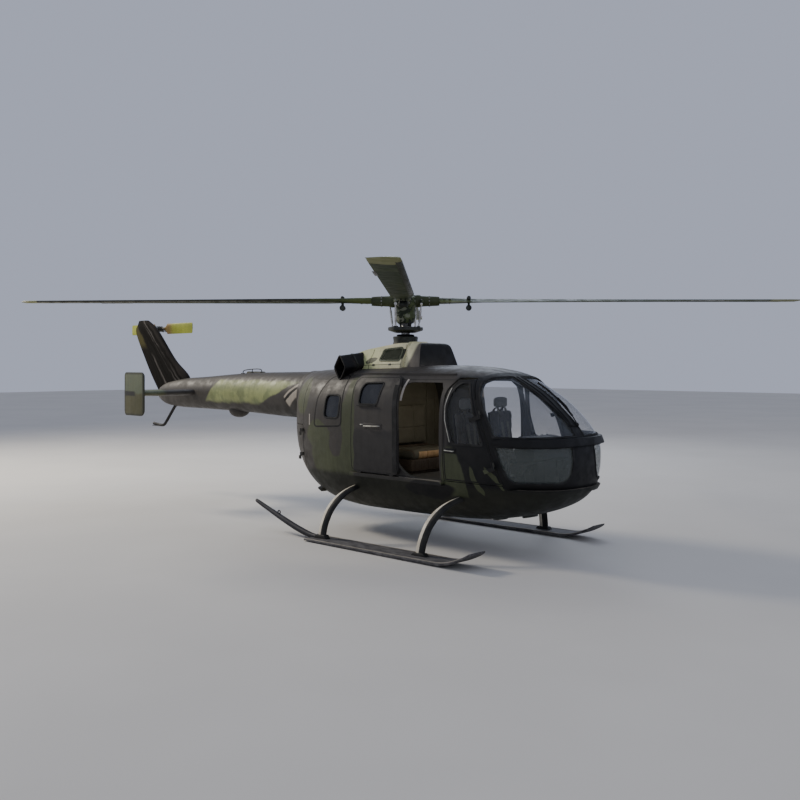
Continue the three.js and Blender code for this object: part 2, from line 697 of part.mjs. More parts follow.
function rotorBlade() {
  const rings = BLADE_SECTIONS.map(([share, chord, thick, pitch]) => {
    const angle = THREE.MathUtils.degToRad(pitch);
    const along = new THREE.Vector3(0, Math.cos(angle), Math.sin(angle)).negate();
    const up = new THREE.Vector3(0, -Math.sin(angle), Math.cos(angle));
    const lead = new THREE.Vector3(share * ROTOR_RADIUS, 0, ROTOR_Z).addScaledVector(along, -chord / 2);
    return aerofoilRing(lead, chord, thick, along, up);
  });
  return loft(rings);
}

function tailRotor() {
  const { x, y, z } = TAIL_HUB;
  const hub = tube([[x, y - 55 + SEAT_GAP, z], [x, y + 45, z]], 48, 1, 14);
  const blade = loft([30, 140, 200, TAIL_RADIUS].map((radius, i) => {
    const chord = [60, 60, TAIL_CHORD, TAIL_CHORD][i];
    const thick = [50, 40, 24, 20][i];
    const lead = new THREE.Vector3(x + radius, y, z + chord / 2);
    return aerofoilRing(lead, chord, thick, UP.clone().negate(), PORT);
  }));
  const across = new THREE.Matrix4().makeRotationY(Math.PI);
  const turn = new THREE.Matrix4().makeTranslation(x, y, z).multiply(across)
    .multiply(new THREE.Matrix4().makeTranslation(-x, -y, -z));
  return union(hub, blade, blade.transform(turn.toArray()));
}

// Landing gear

// Each pair of legs is an arch of oval section, wider along the helicopter than it is deep, and
// from its roots down it leans aft
const LEG_ARCH = [[-SKID_Y, 62], [-1130, 200], [-1040, 390], [-880, 540], [-LEG_ROOT_Y, 632], [-300, 670]];
const LEG_STEPS = 26;

function crossTube({ root, foot }, grow = 0) {
  const half = LEG_ARCH.map(([y, z]) => new THREE.Vector3(0, y, z));
  const arch = new THREE.CatmullRomCurve3([...half, ...half.map((point) => mirrorPoint(point)).reverse()]);
  const rings = Array.from({ length: LEG_STEPS + 1 }, (_, step) => {
    const centre = arch.getPoint(step / LEG_STEPS);
    const across = arch.getTangent(step / LEG_STEPS).cross(FORE);
    const spread = LEG_CHORD.foot + (LEG_CHORD.root - LEG_CHORD.foot) * (1 - Math.abs(centre.y) / SKID_Y);
    const out = Math.max(0, Math.abs(centre.y) - LEG_ROOT_Y) / (SKID_Y - LEG_ROOT_Y);
    centre.x = root + (foot - root) * out;
    return ellipse(LEG_SIDES).map(([along, up]) => centre.clone()
      .addScaledVector(FORE, (spread / 2 + grow) * along)
      .addScaledVector(across, (LEG_DEPTH / 2 + grow) * up));
  });
  return loft(rings);
}

function mirrorPoint(point) {
  return new THREE.Vector3(point.x, -point.y, point.z);
}

// A runner is a broad flat ski with a turned-up tip, and a tapering spar that rises behind it
// Columns: station x, centre height, radius
const SPAR_ROWS = [[-1460, 366, 22], [-1180, 272, 30], [-900, 180, 36], [-600, 92, 38], [-360, 42, 36],
  [-240, 40, 30]];
const SADDLE = { low: 20, high: 112, wide: 130, narrow: 85, half: 52 };

function runner() {
  const sole = [[SKI_BACK, SOLE_Z], [SKI_BEND, SOLE_Z], [1900, 42], [2160, 150], [2235, 192]];
  const top = [[2228, 210], [2140, 182], [1880, 84], [SKI_BEND, SKI_DEPTH], [SKI_BACK, SKI_DEPTH - 12]];
  const ski = sidePrism([...sole, ...top], -SKID_Y - SKI_HALF, -SKID_Y + SKI_HALF);
  const spar = loft(SPAR_ROWS.map(([x, z, radius]) => ellipse(12).map(([across, up]) => (
    new THREE.Vector3(x, -SKID_Y + radius * across, z + radius * up)))));
  const { low, high, wide, narrow, half } = SADDLE;
  const saddles = [FRONT_LEG, REAR_LEG].map(({ foot }) => sidePrism(
    [[foot - wide, low], [foot + wide, low], [foot + narrow, high], [foot - narrow, high]],
    -SKID_Y - half, -SKID_Y + half));
  const sockets = union(crossTube(FRONT_LEG, SEAT_GAP), crossTube(REAR_LEG, SEAT_GAP));
  const below = box([-2000, -2000, -100], [SKI_BEND, 0, SOLE_Z]);
  return union(ski, spar, ...saddles).subtract(sockets).subtract(below);
}

// The flat steel plate under a ski, which it stands on
function wearPlate() {
  const { half, depth } = WEAR_PLATE;
  return box([SKI_BACK, -SKID_Y - half, 0], [SKI_BEND, -SKID_Y + half, depth]);
}

// Cabin

const SEAT = { back: 1350, front: 1860, outer: -530, inner: -110, top: 1000 };

function frontSeat() {
  const { back, front, outer, inner, top } = SEAT;
  return box([back, outer, FLOOR_Z + SEAT_GAP], [front, inner, top]);
}

function frontCushion() {
  const { back, front, outer, inner, top } = SEAT;
  const side = [[back + 85, top + SEAT_GAP], [front + 30, top + SEAT_GAP], [front + 40, top + 90],
    [back + 85, top + 80]];
  return sidePrism(rounded(side, 30), outer, inner);
}

// The back leans, and narrows above the shoulders to a head rest
const SHOULDER_Z = 1600;
const HEAD_REST = { outer: -450, inner: -190 };

function frontBack() {
  const { back, outer, inner, top } = SEAT;
  const leaning = [[back + 5, top + SEAT_GAP], [back + 80, top + SEAT_GAP], [back + 80, top + 82],
    [back + 45, 1570], [back + 35, SHOULDER_Z], [back + 40, 1730], [back - 30, 1740], [back - 45, 1560]];
  return sidePrism(rounded(leaning, 20, 2), outer, inner).subtract(union(
    box([back - 300, outer - 50, SHOULDER_Z], [back + 300, HEAD_REST.outer, SHOULDER_Z + 200]),
    box([back - 300, HEAD_REST.inner, SHOULDER_Z], [back + 300, inner + 50, SHOULDER_Z + 200])));
}

const BENCH_HALF = 430;

function rearBench() {
  return union(box([110, -BENCH_HALF, FLOOR_Z + SEAT_GAP], [600, BENCH_HALF, 975]),
    box([30, -BENCH_HALF, FLOOR_Z + SEAT_GAP], [112, BENCH_HALF, 1100]));
}

function rearCushion() {
  const side = [[115, 975.5], [620, 975.5], [630, 1085], [115, 1075]];
  return sidePrism(rounded(side, 30), -BENCH_HALF, BENCH_HALF);
}

function rearBack() {
  const side = [[30, 1100 + SEAT_GAP], [110, 1100 + SEAT_GAP], [80, 1620], [12, 1620]];
  return sidePrism(rounded(side, 25), -BENCH_HALF, BENCH_HALF);
}

// A flat wall across the cabin behind the bench
function cabinBulkhead() {
  return pod(WALL + 2 * SEAT_GAP).intersect(box([-12, -REACH, FLOOR_Z + SEAT_GAP], [8, REACH, TALL]));
}

function instrumentPanel() {
  const head = sidePrism([[2080, 1010], [2300, 1060], [2330, 1290], [2080, 1325], [2040, 1200]], -330, 330);
  const console = sidePrism([[1880, FLOOR_Z + SEAT_GAP], [2300, FLOOR_Z + SEAT_GAP], [2300, 1070],
    [2085, 1030], [1880, 960]], -110, 110);
  return union(head, console);
}

// Finishes: colour, roughness and metalness

const FINISHES = {
  camouflage: [0x3b3a31, 0.7, 0],
  hull: [0x2e3024, 0.75, 0],
  black: [0x15161a, 0.5, 0],
  glass: [0x9fb6c6, 0.08, 0],
  pale: [0x9a9a6a, 0.6, 0],
  steel: [0x5c5a55, 0.45, 0.8],
  dark: [0x2a2b2c, 0.6, 0.3],
  blade: [0x2f3a20, 0.55, 0],
  cushion: [0x6a6f72, 0.9, 0],
  tan: [0xb07a42, 0.7, 0],
};

const helicopter = new THREE.Group();
helicopter.position.x = DATUM_X;

function place(name, solid, finish) {
  const { vertProperties, triVerts } = solid.getMesh();
  const geometry = new THREE.BufferGeometry();
  geometry.setAttribute('position', new THREE.BufferAttribute(new Float32Array(vertProperties), 3));
  geometry.setIndex(new THREE.BufferAttribute(new Uint32Array(triVerts), 1));
  const [color, roughness, metalness] = FINISHES[finish];
  const mesh = new THREE.Mesh(geometry, new THREE.MeshStandardMaterial({ color, roughness, metalness }));
  mesh.name = name;
  helicopter.add(mesh);
}

// Places a starboard piece and its mirror image to port
function placePair(name, solid, finish) {
  place(`${name}_starboard`, solid, finish);
  place(`${name}_port`, mirrored(solid), finish);
}

place('lower_hull', lowerHull(), 'hull');
place('roof_shell', roofShell(), 'camouflage');
placePair('side_wall', union(sideWall(), hingeHalves(CARGO_HINGE, false)), 'camouflage');
place('rear_shell', rearShell(), 'camouflage');
const crewJamb = hingeHalves(CREW_HINGE, false);
place('nose_frame', union(noseFrame(), crewJamb, mirrored(crewJamb)), 'black');
placePair('windscreen', pane(WINDSCREEN, -CENTRE_POST_HALF), 'glass');
placePair('chin_window', podGlass.intersect(chinHole(SEAT_GAP)), 'glass');
placePair('quarter_window', pane(rounded(QUARTER_WINDOW, 70), -300), 'glass');
place('gearbox_fairing', gearboxFairing(), 'black');
place('engine_cowling', engineCowling(), 'pale');
place('engine_block', engineBlock(), 'steel');
place('main_gearbox', mainGearbox(), 'steel');
place('mast_collar', mastCollar(), 'steel');
placePair('exhaust', exhaust(), 'dark');

place('tail_boom', tailBoom(), 'camouflage');
place('fin', fin(), 'camouflage');
place('stabiliser', stabiliser(), 'camouflage');
place('tail_gearbox', tailGearbox(), 'steel');
place('tail_bumper', tailBumper(), 'dark');

place('cross_tube_front', crossTube(FRONT_LEG), 'dark');
place('cross_tube_rear', crossTube(REAR_LEG), 'dark');
placePair('runner', runner(), 'dark');
placePair('wear_plate', wearPlate(), 'steel');

placePair('front_door', union(frontDoor(), hingeHalves(CREW_HINGE, true)), 'camouflage');
placePair('front_door_window', pane(rounded(FRONT_WINDOW, 50), -300), 'glass');
placePair('sliding_door', slidingDoor(), 'camouflage');
placePair('sliding_door_window', slidingPane(), 'glass');
placePair('rear_door', union(rearDoor(), hingeHalves(CARGO_HINGE, true)), 'camouflage');

place('cabin_bulkhead', cabinBulkhead(), 'hull');
placePair('front_seat', frontSeat(), 'dark');
placePair('seat_cushion', frontCushion(), 'cushion');
placePair('seat_back', frontBack(), 'cushion');
place('rear_bench', rearBench(), 'dark');
place('rear_bench_cushion', rearCushion(), 'tan');
place('rear_bench_back', rearBack(), 'cushion');
place('instrument_panel', instrumentPanel(), 'black');

place('rotor_mast', rotorMast(), 'steel');
place('rotor_hub', onMast(rotorHub()), 'dark');
place('swashplate', onMast(swashplate()), 'steel');
for (let quarter = 0; quarter < 4; quarter += 1) {
  place(`rotor_blade_${quarter + 1}`, onMast(rotorBlade(), quarter), 'blade');
}
place('tail_rotor', tailRotor(), 'blade');

export default helicopter;
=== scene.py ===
"""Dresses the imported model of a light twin-engined helicopter in camouflage paint."""

import math
import random

import bmesh
import bpy
from bpy.props import FloatProperty, FloatVectorProperty, IntProperty, PointerProperty
from mathutils import Matrix, Vector
from mathutils.bvhtree import BVHTree


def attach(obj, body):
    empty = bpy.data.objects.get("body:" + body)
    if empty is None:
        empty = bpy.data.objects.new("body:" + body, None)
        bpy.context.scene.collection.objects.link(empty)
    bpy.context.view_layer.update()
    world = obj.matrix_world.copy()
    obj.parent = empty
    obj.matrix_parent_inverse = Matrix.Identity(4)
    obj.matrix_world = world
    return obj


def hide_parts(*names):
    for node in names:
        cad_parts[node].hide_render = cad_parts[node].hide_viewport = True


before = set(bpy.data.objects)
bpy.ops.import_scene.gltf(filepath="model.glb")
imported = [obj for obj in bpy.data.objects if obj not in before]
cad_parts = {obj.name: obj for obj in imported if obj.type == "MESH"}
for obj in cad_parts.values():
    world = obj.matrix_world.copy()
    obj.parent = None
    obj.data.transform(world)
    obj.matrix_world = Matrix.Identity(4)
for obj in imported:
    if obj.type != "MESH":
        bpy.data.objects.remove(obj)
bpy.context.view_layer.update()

bl_info = {
    "name": "Camouflaged utility helicopter",
    "version": (1, 0, 0),
    "blender": (4, 5, 0),
    "location": "View3D > Sidebar > Helicopter",
    "description": "Builds the skins, glazing, rotors, landing gear and cabin of a helicopter",
    "category": "Object",
}

# Places common to several pieces, in metres. X is forward, Y port, Z up from the ground.
# Shapes are drawn from a station a little behind the model's own origin, and moved as they are added.

DRAWN_BEHIND = 0.065
MAST_X = 1.693
FLOOR_Z = 0.795
ROTOR_Z = 2.92
ROTOR_REST = math.radians(41.3)
SEAM_GAP = 0.008
FIN_FOOT_X, FIN_FOOT_Z, FIN_SWEEP = -3.10, 1.88, -1.17
TOE_START = 3.3
SIDES = (("starboard", -1), ("port", 1))

# Sections of the pod from tail to nose
# x, half width, waist height, roof height, belly height, upper and lower power of the outline
POD_ROWS = (
    (-0.100, 0.140, 1.450, 1.900, 1.020, 2.2, 2.2),
    (-0.070, 0.250, 1.440, 1.970, 0.920, 2.3, 2.3),
    (0.020, 0.378, 1.420, 2.010, 0.800, 2.5, 2.5),
    (0.200, 0.522, 1.390, 2.035, 0.640, 2.7, 2.7),
    (0.480, 0.665, 1.340, 2.055, 0.470, 2.9, 2.8),
    (0.800, 0.750, 1.310, 2.070, 0.360, 3.1, 2.9),
    (1.200, 0.787, 1.300, 2.085, 0.310, 3.3, 3.0),
    (1.900, 0.790, 1.300, 2.100, 0.305, 3.4, 3.0),
    (2.500, 0.790, 1.300, 2.110, 0.315, 3.4, 3.0),
    (3.000, 0.790, 1.300, 2.085, 0.335, 3.3, 3.0),
    (3.330, 0.785, 1.290, 2.025, 0.365, 3.2, 2.9),
    (3.550, 0.770, 1.280, 1.930, 0.405, 3.0, 2.8),
    (3.800, 0.735, 1.250, 1.790, 0.460, 2.9, 2.7),
    (4.000, 0.680, 1.200, 1.635, 0.530, 2.8, 2.6),
    (4.160, 0.590, 1.150, 1.490, 0.610, 2.7, 2.5),
    (4.260, 0.480, 1.110, 1.375, 0.700, 2.6, 2.4),
    (4.315, 0.340, 1.070, 1.270, 0.790, 2.5, 2.3),
    (4.340, 0.200, 1.040, 1.170, 0.890, 2.3, 2.2),
)

# Outlines in the side view, as x and z
FRONT_DOOR = ((3.004, 0.828), (3.0, 1.65), (3.03, 1.83), (3.1, 1.945), (3.29, 1.96), (3.412, 1.734),
              (3.555, 1.417), (3.7, 0.998), (3.762, 0.828))
FRONT_WINDOW = ((3.13, 1.242), (3.048, 1.5), (3.042, 1.66), (3.07, 1.8), (3.14, 1.9), (3.262, 1.908),
                (3.364, 1.722), (3.488, 1.44), (3.56, 1.242))
WINDSCREEN = ((3.462, 2.4), (3.458, 1.972), (3.393, 1.957), (3.375, 1.905), (3.396, 1.862), (3.436, 1.777),
              (3.53, 1.619), (3.623, 1.462), (3.675, 1.34), (4.5, 1.34), (4.5, 2.4))
CHIN_WINDOW = ((3.689, 1.245), (3.77, 1.028), (3.828, 0.905), (3.89, 0.866), (4.5, 0.866), (4.5, 1.245))
CHIN_FRONT = ((-0.9, 0.7), (-0.9, 1.5), (-0.198, 1.5), (-0.205, 1.08), (-0.222, 0.98), (-0.262, 0.905),
              (-0.335, 0.868), (-0.42, 0.7))
SLIDE_PANEL = ((2.19, 0.83), (2.2, 1.9), (2.25, 1.985), (2.9, 1.985), (2.96, 1.9), (2.989, 1.35), (2.982, 0.83))
SLIDE_WINDOW = ((2.328, 1.64), (2.342, 1.83), (2.39, 1.893), (2.708, 1.902), (2.64, 1.64))
QUARTER_WINDOW = ((1.0, 1.45), (1.03, 1.738), (1.305, 1.738), (1.29, 1.45))
REAR_DOOR = ((-0.2, 0.803), (-0.2, 1.33), (0.465, 1.33), (0.465, 0.803))
SLIDE_TRAVEL = 0.65
CENTRE_POST = 0.075


# Sizes and colours that a user would change

class PaintColours(bpy.types.PropertyGroup):
    """The paints and finishes"""

    earth: FloatVectorProperty(name="Earth", description="Brown grey camouflage paint", subtype="COLOR", size=3,
                               min=0, max=1, default=(0.047, 0.042, 0.037))
    leaf: FloatVectorProperty(name="Leaf", description="Grey green camouflage paint", subtype="COLOR", size=3,
                              min=0, max=1, default=(0.062, 0.070, 0.036))
    pitch: FloatVectorProperty(name="Pitch", description="Black camouflage paint", subtype="COLOR", size=3,
                               min=0, max=1, default=(0.006, 0.006, 0.0065))
    # Belly is painted shade: a dark olive laid over the underside of the pod.
    belly: FloatVectorProperty(name="Belly", description="Dark olive paint under the pod", subtype="COLOR", size=3,
                               min=0, max=1, default=(0.017, 0.018, 0.012))
    cream: FloatVectorProperty(name="Cream", description="Pale weathered paint of the engine cowling",
                               subtype="COLOR", size=3, min=0, max=1, default=(0.70, 0.66, 0.42))
    tan: FloatVectorProperty(name="Tan", description="Leather of the rear bench", subtype="COLOR", size=3,
                             min=0, max=1, default=(0.72, 0.43, 0.19))
    fabric: FloatVectorProperty(name="Seat fabric", description="Woven cover of the front seats", subtype="COLOR",
                                size=3, min=0, max=1, default=(0.088, 0.081, 0.069))
    blade: FloatVectorProperty(name="Blade green", description="Paint of the rotor blades", subtype="COLOR",
                               size=3, min=0, max=1, default=(0.030, 0.042, 0.020))
    tip: FloatVectorProperty(name="Blade tip", description="Yellow green at the blades' ends", subtype="COLOR",
                             size=3, min=0, max=1, default=(0.30, 0.33, 0.045))


class PartSizes(bpy.types.PropertyGroup):
    """Sizes of the small parts"""

    wall: FloatProperty(name="Skin depth", description="Depth of the pod's walls", unit="LENGTH", default=0.045)
    seal: FloatProperty(name="Seal width", description="Width of the windows' rubber seals", unit="LENGTH",
                        default=0.022)
    rivet: FloatProperty(name="Rivet radius", description="Radius of a rivet's head", unit="LENGTH", default=0.0045)
    rivet_pitch: FloatProperty(name="Rivet pitch", description="Distance between rivets in a row", unit="LENGTH",
                               default=0.055)
    ring_points: IntProperty(name="Ring points", description="Points around one section of the pod", default=112)
    cushion_swell: FloatProperty(name="Cushion swell", description="Most that a cushion's filling pushes it out",
                                 unit="LENGTH", default=0.024)


class StageSettings(bpy.types.PropertyGroup):
    """Camera, floor and lights"""

    lens: FloatProperty(name="Lens", description="Focal length in millimetres on a 36 mm sensor", default=42.354)
    camera_height: FloatProperty(name="Camera height", description="Height of the camera", unit="LENGTH",
                                 default=2.126)
    horizon_shift: FloatProperty(name="Horizon shift", description="Vertical shift of the frame", default=-0.0451)
    floor: FloatVectorProperty(name="Floor", description="Colour of the floor", subtype="COLOR", size=3,
                               min=0, max=1, default=(0.62, 0.60, 0.56))
    sun_power: FloatProperty(name="Key light", description="Strength of the warm key light", default=7.5)
    sky_power: FloatProperty(name="Sky", description="Strength of the even background light", default=0.55)


# Outlines and meshes

def inset(outline, distance):
    """Moves each edge of an outline inwards by a distance."""
    count = len(outline)
    area = sum(outline[i][0] * outline[(i + 1) % count][1] - outline[(i + 1) % count][0] * outline[i][1]
               for i in range(count))
    side = math.copysign(distance, area * distance) if distance else 0
    edges = []
    for i, (x, z) in enumerate(outline):
        nx, nz = outline[(i + 1) % count]
        length = math.hypot(nx - x, nz - z)
        ax, az = (nx - x) / length, (nz - z) / length
        edges.append((x - az * side, z + ax * side, ax, az))
    points = []
    for i, (x, z, ax, az) in enumerate(edges):
        bx, bz, cx, cz = edges[i - 1]
        cross = cx * az - cz * ax
        reach = ((x - bx) * az - (z - bz) * ax) / cross if abs(cross) > 1e-9 else 0
        points.append((bx + cx * reach, bz + cz * reach))
    return points


def rounded(outline, radius, steps=6):
    """Rounds every corner of an outline by one radius, or each by its own."""
    points = []
    count = len(outline)
    radii = radius if isinstance(radius, tuple) else (radius,) * count
    for i in range(count):
        corner, before, after = Vector(outline[i]), Vector(outline[i - 1]), Vector(outline[(i + 1) % count])
        cut = min(radii[i], (corner - before).length / 2.1, (corner - after).length / 2.1)
        if not cut:
            points.append(tuple(corner))
            continue
        enter = corner + (before - corner).normalized() * cut
        leave = corner + (after - corner).normalized() * cut
        for step in range(steps + 1):
            t = step / steps
            points.append(tuple(enter.lerp(corner, t).lerp(corner.lerp(leave, t), t)))
    return points


def dense(points, step, closed=True):
    """Adds points along a line so that none are further apart than a step."""
    result = []
    vectors = [Vector(point) for point in points]
    pairs = zip(vectors, vectors[1:] + vectors[:1]) if closed else zip(vectors, vectors[1:])
    for start, end in pairs:
        parts = max(1, math.ceil((end - start).length / step))
        result += [start.lerp(end, k / parts) for k in range(parts)]
    return result if closed else result + [vectors[-1]]


def span(low, high, step):
    """Values spread evenly from low to high, about a step apart."""
    count = max(1, round((high - low) / step))
    return [low + (high - low) * k / count for k in range(count + 1)]


def refined(rows, per_gap):
    """A smooth curve through rows of numbers, with more rows between them."""
    knots = [0.0]
    for before, after in zip(rows, rows[1:]):
        knots.append(knots[-1] + math.dist(before[:5], after[:5]) ** 0.5)
    out = []
    for i in range(len(rows) - 1):
        p0, p1, p2, p3 = rows[max(i - 1, 0)], rows[i], rows[i + 1], rows[min(i + 2, len(rows) - 1)]
        t0 = knots[i - 1] if i else knots[0] - (knots[1] - knots[0])
        t1, t2 = knots[i], knots[i + 1]
        t3 = knots[i + 2] if i + 2 < len(rows) else 2 * knots[-1] - knots[-2]
        for k in range(per_gap):
            t = t1 + (t2 - t1) * k / per_gap
            row = []
            for a, b, c, d in zip(p0, p1, p2, p3):
                a1 = b if p0 is p1 else (a * (t1 - t) + b * (t - t0)) / (t1 - t0)
                a2 = (b * (t2 - t) + c * (t - t1)) / (t2 - t1)
                a3 = c if p3 is p2 else (c * (t3 - t) + d * (t - t2)) / (t3 - t2)
                b1 = (a1 * (t2 - t) + a2 * (t - t0)) / (t2 - t0) if p0 is not p1 else a2
                b2 = (a2 * (t3 - t) + a3 * (t - t1)) / (t3 - t1) if p3 is not p2 else a2
                row.append((b1 * (t2 - t) + b2 * (t - t1)) / (t2 - t1))
            out.append(tuple(row))
    return out + [tuple(rows[-1])]


def mesh_of(name, points, faces):
    """A mesh with its faces turned outwards."""
    mesh = bpy.data.meshes.new(name)
    mesh.from_pydata([tuple(point) for point in points], [], faces)
    tidy = bmesh.new()
    tidy.from_mesh(mesh)
    bmesh.ops.remove_doubles(tidy, verts=tidy.verts, dist=1e-6)
    bmesh.ops.recalc_face_normals(tidy, faces=tidy.faces)
    tidy.to_mesh(mesh)
    tidy.free()
    return mesh


def loft(rings, name="loft"):
    """Joins rings of points into a closed skin with flat ends."""
    count = len(rings[0])
    points = [point for ring in rings for point in ring]
    faces = []
    for ring in range(len(rings) - 1):
        here, there = ring * count, (ring + 1) * count
        faces += [(here + i, here + (i + 1) % count, there + (i + 1) % count, there + i) for i in range(count)]
    for start in (0, (len(rings) - 1) * count):
        centre = sum((Vector(point) for point in points[start:start + count]), Vector()) / count
        points.append(centre)
        faces += [(len(points) - 1, start + i, start + (i + 1) % count) for i in range(count)]
    return mesh_of(name, points, faces)


def block(low, high):
    """A box between two corners."""
    corners = [(x, y, z) for x in (low[0], high[0]) for y in (low[1], high[1]) for z in (low[2], high[2])]
    return mesh_of("block", corners, [(0, 1, 3, 2), (4, 6, 7, 5), (0, 4, 5, 1), (2, 3, 7, 6), (0, 2, 6, 4),
                                      (1, 5, 7, 3)])


def side_prism(outline, near, far):
    """An outline of x and z pushed along Y."""
    return loft([[(x, y, z) for x, z in outline] for y in (near, far)])


def front_prism(outline, back, front):
    """An outline of y and z pushed along X."""
    return loft([[(x, y, z) for y, z in outline] for x in (back, front)])


def sweep(points, profile, normals=None, closed=False, scale=None):
    """Carries a profile of side and height along a line, upright to the normals where they are given."""
    line = [Vector(point) for point in points]
    count = len(line)
    upright = None
    rings = []
    for i, point in enumerate(line):
        before = line[i - 1] if i or closed else point
        after = line[(i + 1) % count] if i + 1 < count or closed else point
        along = (after - before).normalized()
        if normals:
            up = Vector(normals[i])
        elif upright is None:
            up = Vector((0, 0, 1)) if abs(along.z) < 0.9 else Vector((1, 0, 0))
        else:
            up = upright
        up = (up - along * up.dot(along)).normalized()
        upright = up
        across = along.cross(up)
        size = scale[i] if scale else 1
        rings.append([point + across * a * size + up * b * size for a, b in profile])
    if not closed:
        return loft(rings)
    sides = len(profile)
    faces = [(r * sides + i, r * sides + (i + 1) % sides, ((r + 1) % count) * sides + (i + 1) % sides,
              ((r + 1) % count) * sides + i) for r in range(count) for i in range(sides)]
    return mesh_of("sweep", [point for ring in rings for point in ring], faces)


def circle(radius, sides=16, start=0.0):
    return [(radius * math.cos(start + 2 * math.pi * i / sides), radius * math.sin(start + 2 * math.pi * i / sides))
            for i in range(sides)]


def smooth_line(points, step):
    """A smooth line through points."""
    rows = [tuple(point) + (0, 0) for point in points]
    longest = max((Vector(a) - Vector(b)).length for a, b in zip(points, points[1:]))
    return [Vector(row[:3]) for row in refined(rows, max(2, math.ceil(longest / step)))]


def pipe(points, radius, sides=16, scale=None, closed=False):
    return sweep(points, circle(radius, sides), scale=scale, closed=closed)


def bar(start, end, radius, sides=12):
    return pipe([start, end], radius, sides)


def turned(profile, centre, axis=(0, 0, 1), sides=32):
    """A solid of revolution: rows of radius and height along an axis."""
    turn = Vector((0, 0, 1)).rotation_difference(Vector(axis)).to_matrix().to_4x4()
    place = Matrix.Translation(Vector(centre)) @ turn
    rings = [[place @ Vector((max(r, 1e-4) * math.cos(2 * math.pi * i / sides),
                              max(r, 1e-4) * math.sin(2 * math.pi * i / sides), z)) for i in range(sides)]
             for r, z in profile]
    return loft(rings)


def moved(mesh, matrix):
    """A changed copy of a mesh."""
    copy = mesh.copy()
    copy.transform(matrix)
    if matrix.to_3x3().determinant() < 0:
        copy.flip_normals()
    return copy


def mirrored(mesh):
    return moved(mesh, Matrix.Diagonal((1, -1, 1, 1)))


def on_side(mesh, side):
    """Starboard meshes go to port as mirror images."""
    return mesh if side < 0 else mirrored(mesh)


def joined(*meshes):
    """Puts meshes side by side into one, without joining their surfaces."""
    whole = bmesh.new()
    for mesh in meshes:
        whole.from_mesh(mesh)
    result = bpy.data.meshes.new("joined")
    whole.to_mesh(result)
    whole.free()
    return result


def solid(operation, first, *others):
    """One solid operation after another: DIFFERENCE, INTERSECT or UNION."""
    scene = bpy.context.scene.collection
    result = first
    for other in others:
        base, tool = bpy.data.objects.new("base", result), bpy.data.objects.new("tool", other)
        scene.objects.link(base)
        scene.objects.link(tool)
        step = base.modifiers.new("solid", "BOOLEAN")
        step.operation, step.object, step.solver = operation, tool, "MANIFOLD"
        depsgraph = bpy.context.evaluated_depsgraph_get()
        result = bpy.data.meshes.new_from_object(base.evaluated_get(depsgraph))
        bpy.data.objects.remove(base)
        bpy.data.objects.remove(tool)
        if not result.polygons:
            raise RuntimeError(f"the {operation} left nothing")
    return result


def bevelled(mesh, width, segments=2, angle=30):
    """Rounds the sharp edges of a mesh."""
    work = bmesh.new()
    work.from_mesh(mesh)
    bmesh.ops.remove_doubles(work, verts=work.verts, dist=1e-5)
    bmesh.ops.dissolve_limit(work, angle_limit=math.radians(1), verts=work.verts, edges=work.edges)
    sharp = [edge for edge in work.edges if edge.is_manifold and edge.calc_face_angle(0) > math.radians(angle)]
    bmesh.ops.bevel(work, geom=sharp, offset=width, offset_type="OFFSET", segments=segments, profile=0.5,
                    affect="EDGES", clamp_overlap=True)
    result = bpy.data.meshes.new("bevelled")
    work.to_mesh(result)
    work.free()
    return result


def piece(name, mesh, body, materials, stands_for=(), smooth=32, chooser=None):
    """Adds one finished piece to the scene, riding on a body."""
    if not isinstance(materials, (list, tuple)):
        materials = [materials]
    mesh = moved(mesh, Matrix.Translation((-DRAWN_BEHIND, 0, 0)))
    mesh.name = name
    mesh.materials.clear()
    for material in materials:
        mesh.materials.append(material)
    for face in mesh.polygons:
        face.use_smooth = True
        face.material_index = chooser(face) if chooser else 0
    mesh.set_sharp_from_angle(angle=math.radians(smooth))
    shown = bpy.data.objects.new(name, mesh)
    bpy.context.scene.collection.objects.link(shown)
    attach(shown, body)
    if stands_for:
        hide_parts(*stands_for)
    return shown


# The pod's surface

_pods = {}


def pod_ring(row, count):
    x, half, waist, roof, belly, upper, lower = row
    ring = []
    for i in range(count):
        angle = 2 * math.pi * i / count
        sine, cosine = math.sin(angle), math.cos(angle)
        power = 2 / (upper if sine >= 0 else lower)
        tall = roof - waist if sine >= 0 else waist - belly
        ring.append((x, half * math.copysign(abs(cosine) ** power, cosine),
                     waist + tall * math.copysign(abs(sine) ** power, sine)))
    return ring


def pod(depth):
    """The pod as a closed solid, its skin moved inwards by a depth."""
    if depth not in _pods:
        count = bpy.context.scene.helicopter_sizes.ring_points
        rows = refined(POD_ROWS, 5)
        rows.append((4.347, 0.11, 1.036, 1.10, 0.965, 2.2, 2.1))
        mesh = loft([pod_ring(row, count) for row in rows], "pod")
        normals = [normal.vector.copy() for normal in mesh.vertex_normals]
        for vertex, normal in zip(mesh.vertices, normals):
            vertex.co -= normal * depth
        _pods[depth] = mesh
    return _pods[depth]


def tree_of(mesh):
    work = bmesh.new()
    work.from_mesh(mesh)
    tree = BVHTree.FromBMesh(work)
    work.free()
    return tree


